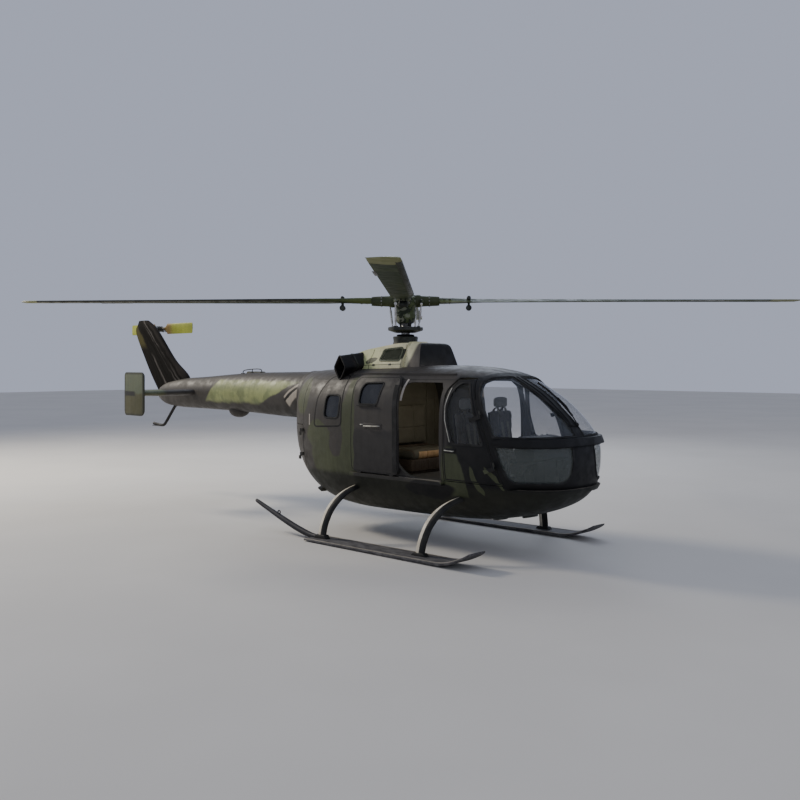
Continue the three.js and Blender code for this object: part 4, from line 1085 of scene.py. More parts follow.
class BuildPod(bpy.types.Operator):
    """Smooth skins of the belly, roof, side walls, rear and nose"""

    bl_idname = "helicopter.pod"
    bl_label = "Pod skins"

    def execute(self, context):
        skin = Surface(pod(0))
        choose = inside_or_paint(skin)
        belly = solid("INTERSECT", pod(0), block((-0.5, -1, 0), (4.8, 1, FLOOR_Z)))
        rail = block((1.5, -0.8, 0.77), (2.985, -0.765, 0.81))
        foot = block((1.5, -0.8, 0.77), (2.985, -0.705, FLOOR_Z))
        rear_lip = proud([(-0.4, 0.456), (-0.4, 0.49), (0.54, 0.49), (0.72, 0.473), (0.54, 0.456)], 0.05)
        belly = solid("UNION", belly, rail, foot, mirrored(rail), mirrored(foot), rear_lip,
                      nose_strip(FLOOR_Z - 0.046, FLOOR_Z, 3.93))
        piece("lower_hull_skin", belly, "airframe", [material("pod"), material("carpet")],
              ["lower_hull"], chooser=lambda face: 1 if face.normal.z > 0.98 and face.center.z > 0.78 else 0)
        door_hole = starboard(inset(FRONT_DOOR, -SEAM_GAP))
        relief = starboard([(2.984, 1.76), (3.004, 1.842), (3.082, 1.972), (3.19, 1.976), (3.288, 1.969),
                            (3.288, 1.9), (3.04, 1.76)])
        doorway = starboard(doorway_outline())
        nose_plan = [(3.33, 2.4), (3.33, 1.99), *FRONT_DOOR[4:], (3.762, 0), (4.6, 0), (4.6, 2.4)]
        lip = solid("DIFFERENCE", pod(0.05), pod(0.062))
        sill = solid("DIFFERENCE", pod(0.001), pod(0.062))
        for name, side in SIDES:
            parts = [solid("INTERSECT", sill, block((2.99, -1, 0.785), (3.755, -0.3, 0.8195))),
                     solid("INTERSECT", lip, block((3.01, -1, 0.785), (3.74, -0.3, 0.845)))]
            piece(f"front_sill_{name}", on_side(joined(*parts), side), "airframe",
                  [material("pod"), material("lining")], chooser=choose)
        zone = side_prism([(0.4803, 1.8003), (2.944, 1.8003), (2.944, 0), (2.992, 0), (2.992, 1.8),
                           (3.33, 1.8), (3.33, 2.4), (0.4803, 2.4)], -1, 1)
        roof = solid("INTERSECT", shell(), zone)
        for cutter in (door_hole, relief, doorway):
            roof = solid("DIFFERENCE", roof, cutter, mirrored(cutter))
        roof = solid("DIFFERENCE", roof, side_prism(inset(nose_plan, -0.0003), -1, 1))
        piece("roof_skin", roof, "airframe", [material("pod"), material("lining")],
              ["roof_shell"], chooser=choose)
        wall_zone = starboard([(0.4803, 0), (0.4803, 1.8), (2.62, 1.8), (2.62, 0)], 0)
        window = starboard(rounded(QUARTER_WINDOW, 0.07))
        for name, side in SIDES:
            wall = solid("DIFFERENCE", solid("INTERSECT", shell(), wall_zone), window, doorway)
            wall = joined(wall, *[knuckle for z in (0.89, 1.2) for knuckle in cargo_knuckle(z, False)])
            piece(f"side_wall_skin_{name}", on_side(wall, side), "airframe", [material("pod"), material("lining")],
                  [f"side_wall_{name}"], chooser=choose)
        rear = solid("INTERSECT", shell(), block((-0.5, -1, 0), (0.48, 1, 2.4)))
        rear = solid("DIFFERENCE", rear, side_prism(inset(REAR_DOOR, -SEAM_GAP), -1, 1))
        piece("rear_skin", rear, "airframe", [material("pod"), material("lining")],
              ["rear_shell"], chooser=choose)
        nose = solid("INTERSECT", shell(), side_prism(nose_plan, -1, 1))
        for cutter in (starboard(WINDSCREEN, -CENTRE_POST), chin_hole(0), door_hole):
            nose = solid("DIFFERENCE", nose, cutter, mirrored(cutter))
        hinges = [knuckle for height in (0.2, 0.78) for knuckle in crew_knuckle(height, False)]
        cross_bar = solid("DIFFERENCE", nose_strip(1.253, 1.332, 3.8), pod(0.014))
        nose = joined(nose, cross_bar, *hinges, *[mirrored(hinge) for hinge in hinges])
        piece("nose_skin", nose, "airframe", [material("black"), material("lining")], ["nose_frame"],
              chooser=choose)
        return {"FINISHED"}


def hinge_parts(origin, lean, height, reach, on_door):
    """A knuckle about the hinge line and the leaf that carries it."""
    axis = Vector(lean).normalized()
    ahead = Vector((0, 1, 0)).cross(axis)
    start = Vector(origin) + axis * (height + (0 if on_door else 0.0453))
    knuckle = turned([(0, 0), (0.0098, 0), (0.011, 0.0015), (0.011, 0.0435), (0.0098, 0.045), (0, 0.045)], start, axis)
    leaf_axis = start + axis * 0.0225
    profile = [(-0.0225, -0.0035), (0.0225, -0.0035), (0.0225, 0.0035), (-0.0225, 0.0035)]
    normal = Vector((0, -1, 0))
    inner = Vector((0, 1, 0)) * 0.03
    leaf = sweep([leaf_axis, leaf_axis + ahead * reach, leaf_axis + ahead * reach + inner], profile,
                 [normal, (normal + ahead * math.copysign(1, reach)).normalized(), ahead * math.copysign(1, reach)])
    return [knuckle, leaf]


def crew_knuckle(height, on_door):
    return hinge_parts((3.78, -0.785, 0.8), (-0.3327, 0, 0.943), height, -0.14 if on_door else 0.004, on_door)


def cargo_knuckle(height, on_door):
    return hinge_parts((0.475, -0.7, 0), (0, 0, 1), height, -0.032 if on_door else 0.032, on_door)


class BuildDoors(bpy.types.Operator):
    """Front doors, sliding cabin doors and rear cargo doors with their hinges"""

    bl_idname = "helicopter.doors"
    bl_label = "Doors"

    def execute(self, context):
        choose = inside_or_paint(Surface(pod(0)))
        window = starboard(rounded(FRONT_WINDOW, 0.05))
        outer = solid("INTERSECT", solid("DIFFERENCE", pod(0), pod(0.014)), starboard(FRONT_DOOR))
        inner = solid("INTERSECT", solid("DIFFERENCE", pod(0.013), pod(0.045)), starboard(inset(FRONT_DOOR, 0.026)))
        front = solid("DIFFERENCE", solid("UNION", outer, inner), window)
        front = joined(front, *[part for height in (0.2, 0.78) for part in crew_knuckle(height, True)])
        slide = solid("INTERSECT", solid("DIFFERENCE", slide_skin(0.038), slide_skin(0.008)),
                      starboard(rounded(SLIDE_PANEL, 0.08), -0.45))
        slide = solid("DIFFERENCE", slide, starboard(rounded(SLIDE_WINDOW, 0.045)))
        shoes = [bevelled(block((x, -0.797, 0.8103), (x + 0.06, -0.77, 0.85)), 0.003) for x in (2.29, 2.83)]
        slide = moved(joined(slide, *shoes), Matrix.Translation((-SLIDE_TRAVEL, 0, 0)))
        cargo = solid("INTERSECT", shell(), side_prism(REAR_DOOR, -1, -SEAM_GAP / 2))
        cargo = joined(cargo, *[part for z in (0.89, 1.2) for part in cargo_knuckle(z, True)])
        for name, side in SIDES:
            piece(f"front_door_skin_{name}", on_side(front, side), f"crew_door_{name}",
                  [material("pod"), material("lining")], [f"front_door_{name}"], chooser=choose)
            piece(f"sliding_door_skin_{name}", on_side(slide, side), f"cabin_door_{name}",
                  [material("pod"), material("lining")], [f"sliding_door_{name}"],
                  chooser=lambda face, s=side: 0 if face.normal.y * s > -0.3 else 1)
            piece(f"rear_door_skin_{name}", on_side(cargo, side), f"cargo_door_{name}",
                  [material("pod"), material("lining")], [f"rear_door_{name}"], chooser=choose)
        return {"FINISHED"}


def slide_skin(depth):
    """The sliding door follows the pod's widest section, outside it."""
    row = POD_ROWS[8]
    grown = (row[1] + depth, row[2], row[3] + depth, row[4] - depth, row[5], row[6])
    count = context_points()
    return loft([pod_ring((x, *grown), count) for x in (1.2, 3.1)])


def context_points():
    return bpy.context.scene.helicopter_sizes.ring_points * 2


class BuildGlazing(bpy.types.Operator):
    """Curved windows and the rubber seals around them"""

    bl_idname = "helicopter.glazing"
    bl_label = "Windows and seals"

    def execute(self, context):
        sizes = context.scene.helicopter_sizes
        glass = solid("DIFFERENCE", pod(0.014), pod(0.022))
        skin = Surface(pod(0))
        panes = (
            ("windscreen", starboard(inset(WINDSCREEN, 0.0003), -CENTRE_POST - 0.0003), "screen", "airframe"),
            ("chin_window", chin_hole(0.0003), "chin", "airframe"),
            ("quarter_window", starboard(inset(rounded(QUARTER_WINDOW, 0.07), 0.0003)), "dark_window", "airframe"),
            ("front_door_window", starboard(inset(rounded(FRONT_WINDOW, 0.05), 0.0003)), "window", "crew_door"),
        )
        for stem, cutter, finish, body in panes:
            pane = solid("INTERSECT", glass, cutter)
            seal = strip(rim(pane, skin), sizes.seal, 0.005)
            for name, side in SIDES:
                carrier = body if body == "airframe" else f"{body}_{name}"
                piece(f"{stem}_pane_{name}", on_side(pane, side), carrier, material(finish),
                      [f"{stem}_{name}"])
                piece(f"{stem}_seal_{name}", on_side(seal, side), carrier, material("rubber"))
        middle = 0.023
        pane = solid("DIFFERENCE", slide_skin(middle + 0.004), slide_skin(middle - 0.004))
        pane = solid("INTERSECT", pane, starboard(inset(rounded(SLIDE_WINDOW, 0.045), 0.0003)))
        seal = strip(rim(pane, Surface(slide_skin(0.038))), sizes.seal, 0.005)
        aft = Matrix.Translation((-SLIDE_TRAVEL, 0, 0))
        for name, side in SIDES:
            piece(f"sliding_door_pane_{name}", on_side(moved(pane, aft), side), f"cabin_door_{name}",
                  material("dark_window"), [f"sliding_door_window_{name}"])
            piece(f"sliding_door_seal_{name}", on_side(moved(seal, aft), side), f"cabin_door_{name}",
                  material("rubber"))
        return {"FINISHED"}


def rim(pane, skin, step=0.02):
    """The edge of a pane's outer face as a closed line on a skin."""
    work = bmesh.new()
    work.from_mesh(pane)
    bmesh.ops.remove_doubles(work, verts=work.verts, dist=2e-5)
    outer = set()
    for face in work.faces:
        normal = skin.tree.find_nearest(face.calc_center_median())[1]
        if face.normal.dot(normal) > 0.6:
            outer.add(face)
    follow = {}
    for face in outer:
        for loop in face.loops:
            if not any(other in outer for other in loop.edge.link_faces if other is not face):
                follow[loop.vert] = loop.link_loop_next.vert
    chains = []
    while follow:
        vert = next(iter(follow))
        chain = []
        while vert in follow:
            chain.append(vert.co.copy())
            vert = follow.pop(vert)
        chains.append(chain)
    work.free()
    line = even(max(chains, key=len), step)
    hits = [skin.tree.find_nearest(point) for point in line]
    return [hit[0] for hit in hits], [hit[1] for hit in hits]


def even(points, step):
    """Places at equal distances along a closed line."""
    loop = points + points[:1]
    lengths = [(b - a).length for a, b in zip(loop, loop[1:])]
    count = max(8, round(sum(lengths) / step))
    result, edge, covered = [], 0, 0.0
    for k in range(count):
        target = sum(lengths) * k / count
        while covered + lengths[edge] < target:
            covered += lengths[edge]
            edge += 1
        share = (target - covered) / max(lengths[edge], 1e-9)
        result.append(loop[edge].lerp(loop[edge + 1], share))
    return result


# Tail

BOOM_ROWS = (
    (0.15, 0.330, 0.330, 1.690, 0),
    (-0.55, 0.300, 0.320, 1.690, 0),
    (-1.52, 0.265, 0.293, 1.696, 0),
    (-2.60, 0.225, 0.252, 1.672, 0),
    (-3.30, 0.195, 0.228, 1.655, 0),
    (-3.70, 0.150, 0.180, 1.640, 0),
    (-3.92, 0.070, 0.110, 1.640, 0),
)
AEROFOIL = ((0, 0), (0.008, 0.13), (0.03, 0.25), (0.08, 0.37), (0.16, 0.455), (0.27, 0.5), (0.42, 0.47),
            (0.6, 0.36), (0.8, 0.19), (1, 0.03))
FIN_ROWS = (
    (1.56, -3.35, 0.560, 0.120),
    (1.88, -3.10, 1.090, 0.150),
    (2.19, -3.52, 0.905, 0.140),
    (2.69, -4.05, 0.690, 0.125),
    (2.80, -4.22, 0.460, 0.115),
    (2.87, -4.36, 0.280, 0.080),
)
TAIL_HUB = Vector((-4.4, 0.285, 2.73))


def wing_ring(lead, chord, thick, along, up):
    """A ring of points about an aerofoil, from its leading edge over the top and back."""
    upper = [lead + along * (place * chord) + up * (half * thick) for place, half in AEROFOIL]
    lower = [lead + along * (place * chord) - up * (half * thick) for place, half in AEROFOIL[1:]]
    return upper + lower[::-1]


def boom_mesh(depth, rows=None):
    rings = []
    for x, half, tall, centre, _ in refined(rows or BOOM_ROWS, 8):
        rings.append([(x, (half - depth) * math.cos(2 * math.pi * i / 56),
                       centre + (tall - depth) * math.sin(2 * math.pi * i / 56)) for i in range(56)])
    return loft(rings)


class BuildTail(bpy.types.Operator):
    """Tail boom with its collar, fin and stabiliser"""

    bl_idname = "helicopter.tail"
    bl_label = "Tail"

    def execute(self, context):
        boom = boom_mesh(0)
        piece("tail_boom_skin", boom, "airframe", material("boom"), ["tail_boom"])
        rings = []
        for x, grow in ((0.13, 0.012), (-0.03, 0.014), (-0.05, 0.008), (-0.06, 0.002)):
            row = BOOM_ROWS[0]
            half, tall = row[1] + 0.0 - (0.15 - x) * 0.043 + grow, row[2] - (0.15 - x) * 0.0143 + grow
            rings.append([(x, half * math.cos(2 * math.pi * i / 56), 1.69 + tall * math.sin(2 * math.pi * i / 56))
                          for i in range(56)])
        piece("boom_collar", loft(rings), "airframe", material("brown"))
        fin = []
        rows = refined([row + (0,) for row in FIN_ROWS], 6)
        for z, x, chord, thick, _ in rows:
            fin.append(wing_ring(Vector((x, 0, z)), chord, thick, Vector((-1, 0, 0)), Vector((0, 1, 0))))
        piece("fin_skin", loft(fin), "airframe", material("fin"), ["fin"], smooth=40)
        wing = loft([wing_ring(Vector((-2.64, y, 1.684)), 0.42, thick, Vector((-1, 0, 0)), Vector((0, 0, 1)))
                     for y, thick in ((-1.14, 0.084), (-0.8, 0.098), (-0.1, 0.104), (0.1, 0.104), (0.8, 0.098),
                                      (1.14, 0.084))])
        plate_outline = ((-2.58, 1.4), (-2.58, 1.96), (-2.63, 2.0), (-3.09, 2.0), (-3.12, 1.96), (-3.12, 1.4),
                         (-3.09, 1.344), (-2.64, 1.344))
        plate = bevelled(side_prism(rounded(plate_outline, 0.03, 4), -1.166, -1.138), 0.006, 2)
        piece("stabiliser_skin", joined(wing, plate, mirrored(plate)), "airframe", material("plate"),
              ["stabiliser"])
        return {"FINISHED"}


# Upper deck

COWL_SIDE = ((1.992, 1.9), (1.992, 2.385), (1.84, 2.385), (1.27, 2.305), (1.06, 2.23), (0.94, 2.12), (0.9, 1.9))
COWL_FRONT = ((-0.43, 1.9), (-0.4, 2.15), (-0.31, 2.27), (-0.27, 2.4), (0.27, 2.4), (0.31, 2.27), (0.4, 2.15),
              (0.43, 1.9))
FAIRING_SIDE = ((1.9925, 1.9), (1.9925, 2.385), (2.2, 2.385), (2.26, 2.1), (2.28, 1.9))
FAIRING_FRONT = ((-0.4, 1.9), (-0.36, 2.11), (-0.27, 2.385), (0.27, 2.385), (0.36, 2.11), (0.4, 1.9))
EXHAUST_ROUTE = ((1.27, -0.15, 2.15), (1.215, -0.4, 2.105), (1.16, -0.64, 2.078))
MESH_PANEL = ((1.60, 2.165), (1.61, 2.305), (1.93, 2.33), (1.955, 2.165))


def deck_block(side, front, side_radii, front_radius, low, high):
    """A cowling from its side and front outlines, with rounded shoulders."""
    across = front_prism(rounded(front, front_radius), low, high)
    return bevelled(solid("INTERSECT", side_prism(rounded(side, side_radii), -1, 1), across), 0.012, 3, 22)


def grille(skin, outline, pitch, radius):
    """Crossing wires over an opening in the side view, joined as one mesh."""
    xs, zs = [x for x, _ in outline], [z for _, z in outline]
    wires = []
    for axis in (0, 1):
        low, high = (min(xs), max(xs)) if axis == 0 else (min(zs), max(zs))
        for value in span(low + pitch, high - pitch, pitch):
            crossings = []
            for a, b in zip(outline, outline[1:] + outline[:1]):
                if (a[axis] - value) * (b[axis] - value) < 0:
                    share = (value - a[axis]) / (b[axis] - a[axis])
                    crossings.append(a[1 - axis] + (b[1 - axis] - a[1 - axis]) * share)
            if len(crossings) == 2:
                ends = [(value, other) if axis == 0 else (other, value) for other in sorted(crossings)]
                hits = [skin.side(point.x, point.y) for point in dense(ends, 0.05, False)]
                wires.append(pipe([place + normal * 0.003 for place, normal in hits], radius, 5))
    return joined(*wires)


def exhaust_ring(step, half, reach, points=6):
    x, y, z = step
    diamond = rounded([(0, half * 1.15), (half, 0), (0, -half * 1.15), (-half, 0)], half / 3, points)
    return [(x + along, y - reach - along * 0.25, z + up) for along, up in diamond]


def duct(half, mouth, lip=0.0):
    rows = [EXHAUST_ROUTE[0], EXHAUST_ROUTE[1], EXHAUST_ROUTE[2]]
    rings = []
    for k in range(9):
        t = k / 8
        place = [(1 - t) ** 2 * a + 2 * t * (1 - t) * b + t * t * c for a, b, c in zip(*rows)]
        rings.append(exhaust_ring(place, half + (lip if k == 8 else 0), mouth if k == 8 else 0))
    return loft(rings)


class BuildDeck(bpy.types.Operator):
    """Engine cowling with its mesh panels, gearbox fairing, mast collar and exhausts"""

    bl_idname = "helicopter.deck"
    bl_label = "Upper deck"

    def execute(self, context):
        cowl = deck_block(COWL_SIDE, COWL_FRONT, (0, 0, 0.25, 0.3, 0.12, 0.1, 0.02), 0.09, 0.85, 1.992)
        fairing = deck_block(FAIRING_SIDE, FAIRING_FRONT, (0, 0, 0.06, 0.05, 0.02), 0.09, 1.9925, 2.4)
        hole = turned([(0, 2.28), (0.074, 2.28), (0.074, 2.6), (0, 2.6)], (MAST_X, 0, 0), sides=48)
        cowl = solid("DIFFERENCE", cowl, hole)
        skin = Surface(cowl)
        mesh_outline = rounded(MESH_PANEL, 0.035, 4)
        recess = side_prism(inset(mesh_outline, 0.012), -1, 1)
        sunk = solid("INTERSECT", moved(cowl, Matrix.Diagonal((1, 0.955, 1, 1))), recess)
        cowl = solid("DIFFERENCE", cowl, side_prism(inset(mesh_outline, 0.012), -1, -0.2),
                     side_prism(inset(mesh_outline, 0.012), 0.2, 1))
        cowl = joined(cowl, sunk)
        piece("engine_cowling_skin", cowl, "airframe", [material("cowl"), material("mesh_shade")],
              ["engine_cowling"], chooser=lambda face: 1 if inside_outline(face.center, mesh_outline) else 0)
        piece("gearbox_fairing_skin", fairing, "airframe", [material("cowl"), material("black")],
              ["gearbox_fairing"], chooser=lambda face: 1 if face.normal.x > 0.35 else 0)
        wires = grille(skin, mesh_outline, 0.014, 0.0018)
        frame_strip = strip(skin.line(mesh_outline, step=0.02), 0.022, 0.005)
        fair = Surface(fairing)
        seams = [strip(skin.line([(1.44, 2.04), (1.44, 2.31)], closed=False), 0.006, 0.0012),
                 strip(skin.line([(1.985, 2.03), (1.985, 2.36)], closed=False), 0.007, 0.0014),
                 strip(skin.line([(1.02, 2.10), (1.98, 2.125)], closed=False), 0.006, 0.0012)]
        latches = []
        for x in (1.2, 1.52, 1.8):
            place, normal = skin.side(x, 2.10 + (x - 1.02) * 0.026)
            latch = bevelled(block((-0.022, -0.011, -0.001), (0.022, 0.011, 0.006)), 0.003)
            latches.append(on_skin(latch, place, normal))
        screws = fasteners(skin, [(x, 2.055) for x in span(1.0, 1.96, 0.08)]
                           + [(1.975, z) for z in span(2.06, 2.36, 0.06)], 0.005)
        fair_screws = fasteners(fair, [(x, z) for z in span(2.0, 2.36, 0.07) for x in (2.01,)], 0.005)
        for name, side in SIDES:
            piece(f"cowling_mesh_{name}", on_side(wires, side), "airframe", material("mesh"), smooth=60)
            piece(f"cowling_mesh_frame_{name}", on_side(frame_strip, side), "airframe", material("mesh"))
            piece(f"cowling_seams_{name}", on_side(joined(*seams), side), "airframe", material("shadow"))
            piece(f"cowling_fasteners_{name}", on_side(joined(screws, fair_screws, *latches), side), "airframe",
                  material("gunmetal"))
        scoop = solid("DIFFERENCE",
                      bevelled(front_prism([(-0.13, 2.33), (-0.10, 2.405), (0.10, 2.405), (0.13, 2.33)], 1.83, 1.99),
                               0.02, 3),
                      bevelled(front_prism([(-0.10, 2.35), (-0.08, 2.39), (0.08, 2.39), (0.10, 2.35)], 1.86, 2.2),
                               0.01, 2))
        piece("air_scoop", scoop, "airframe", material("cowl"))
        collar = revolved([(0.0755, 2.3), (0.0755, 2.47), (0.085, 2.474), (0.15, 2.474), (0.16, 2.464), (0.152, 2.41),
                           (0.165, 2.36), (0.19, 2.33), (0.19, 2.3)], (MAST_X, 0, 0))
        bolts = [fastener(Vector((MAST_X + 0.178 * math.cos(a), 0.178 * math.sin(a), 2.352)), Vector((0, 0, 1)), 0.008)
                 for a in turns(16)]
        gaiter = revolved([(0.0755, 2.47), (0.0755, 2.5), (0.09, 2.5)] + [
            (0.105 + 0.012 * (k % 2), 2.496 - 0.004 * k) for k in range(6)], (MAST_X, 0, 0))
        piece("mast_collar_ring", joined(collar, *bolts), "airframe", material("gunmetal"),
              ["mast_collar"])
        piece("mast_boot", gaiter, "airframe", material("rubber"))
        outer, inner = duct(0.15, 0), duct(0.136, 0.06)
        shell_ = solid("DIFFERENCE", outer, solid("INTERSECT", inner, block((0, -1.2, 1.5), (3, -0.36, 2.6))))
        lip = sweep(exhaust_ring(EXHAUST_ROUTE[2], 0.147, 0.0), circle(0.0085, 8), closed=True)
        band = sweep(exhaust_ring((1.2, -0.46, 2.1), 0.153, 0.0), [(-0.012, -0.003), (0.012, -0.003), (0.012, 0.003),
                                                                 (-0.012, 0.003)],
                     normals=[Vector((p[0] - 1.2, 0, p[2] - 2.1)) for p in
                              exhaust_ring((1.2, -0.46, 2.1), 0.153, 0.0)], closed=True)
        for name, side in SIDES:
            piece(f"exhaust_duct_{name}", on_side(shell_, side), "airframe", material("burnt"),
                  [f"exhaust_{name}"])
            piece(f"exhaust_lip_{name}", on_side(lip, side), "airframe", material("burnt"), smooth=60)
            piece(f"exhaust_band_{name}", on_side(band, side), "airframe", material("gunmetal"))
        return {"FINISHED"}


def turns(count, start=0.0):
    """Angles spread evenly round a circle."""
    return [start + 2 * math.pi * k / count for k in range(count)]


def inside_outline(centre, outline):
    """Whether a place lies within an outline in the side view."""
    x, z = centre.x, centre.z
    inside = False
    for (ax, az), (bx, bz) in zip(outline, outline[1:] + outline[:1]):
        if (az > z) != (bz > z) and x < ax + (bx - ax) * (z - az) / (bz - az):
            inside = not inside
    return inside


def revolved(outline, centre, axis=(0, 0, 1), sides=48):
    """A ring: a closed outline of radius and height carried round an axis."""
    turn = Vector((0, 0, 1)).rotation_difference(Vector(axis)).to_matrix().to_4x4()
    place = Matrix.Translation(Vector(centre)) @ turn
    count = len(outline)
    points = [place @ Vector((r * math.cos(a), r * math.sin(a), z)) for a in turns(sides) for r, z in outline]
    faces = [(s * count + i, s * count + (i + 1) % count, ((s + 1) % sides) * count + (i + 1) % count,
              ((s + 1) % sides) * count + i) for s in range(sides) for i in range(count)]
    return mesh_of("ring", points, faces)


def fastener(place, normal, radius):
    """A hexagonal head on a washer."""
    washer = turned([(0, -0.001), (radius * 1.5, -0.001), (radius * 1.5, radius * 0.25), (0, radius * 0.25)],
                    place, normal, 12)
    head = turned([(0, 0), (radius, 0), (radius, radius * 0.75), (radius * 0.8, radius * 0.95), (0, radius * 0.95)],
                  place, normal, 6)
    return joined(washer, head)


def on_skin(mesh, place, normal, along=(1, 0, 0)):
    """Stands a mesh, drawn flat about the origin, on a skin."""
    up = Vector(normal).normalized()
    ahead = (Vector(along) - up * up.dot(Vector(along))).normalized()
    turn = Matrix((ahead, up.cross(ahead), up)).transposed().to_4x4()
    return moved(mesh, Matrix.Translation(place) @ turn)


def fasteners(skin, spots, radius):
    """Small domed screws at places in the side view."""
    hits = [skin.side(x, z) for x, z in spots]
    return rivets([place for place, _ in hits], [normal for _, normal in hits], radius)


# Rotors

def on_mast(mesh, quarter=0):
    """Turns a mesh that is drawn about the origin to its place on the main rotor at rest."""
    turn = Matrix.Rotation(math.radians(90) * quarter + ROTOR_REST, 4, "Z")
    return moved(mesh, Matrix.Translation((MAST_X, 0, 0)) @ turn)


def on_all_arms(*meshes):
    return joined(*[on_mast(mesh, quarter) for quarter in range(4) for mesh in meshes])


BLADE_ROWS = (
    (0.430, 0.124, 0.074, 9), (0.445, 0.150, 0.080, 9), (0.640, 0.180, 0.070, 8.5), (0.836, 0.225, 0.054, 8),
    (0.984, 0.270, 0.044, 8), (2.952, 0.270, 0.034, 4), (4.700, 0.270, 0.032, 0.4), (4.870, 0.264, 0.030, 0.1),
    (4.920, 0.215, 0.012, 0),
)


def blade_ring(reach, chord, thick, pitch, grow=0.0):
    angle = math.radians(pitch)
    along = Vector((0, -math.cos(angle), -math.sin(angle)))
    up = Vector((0, -math.sin(angle), math.cos(angle)))
    swept = 0.03 if reach > 4.9 else 0
    lead = Vector((reach, 0, ROTOR_Z)) - along * (chord / 2 - swept + grow)
    return wing_ring(lead, chord + 2 * grow, thick + 2 * grow, along, up)


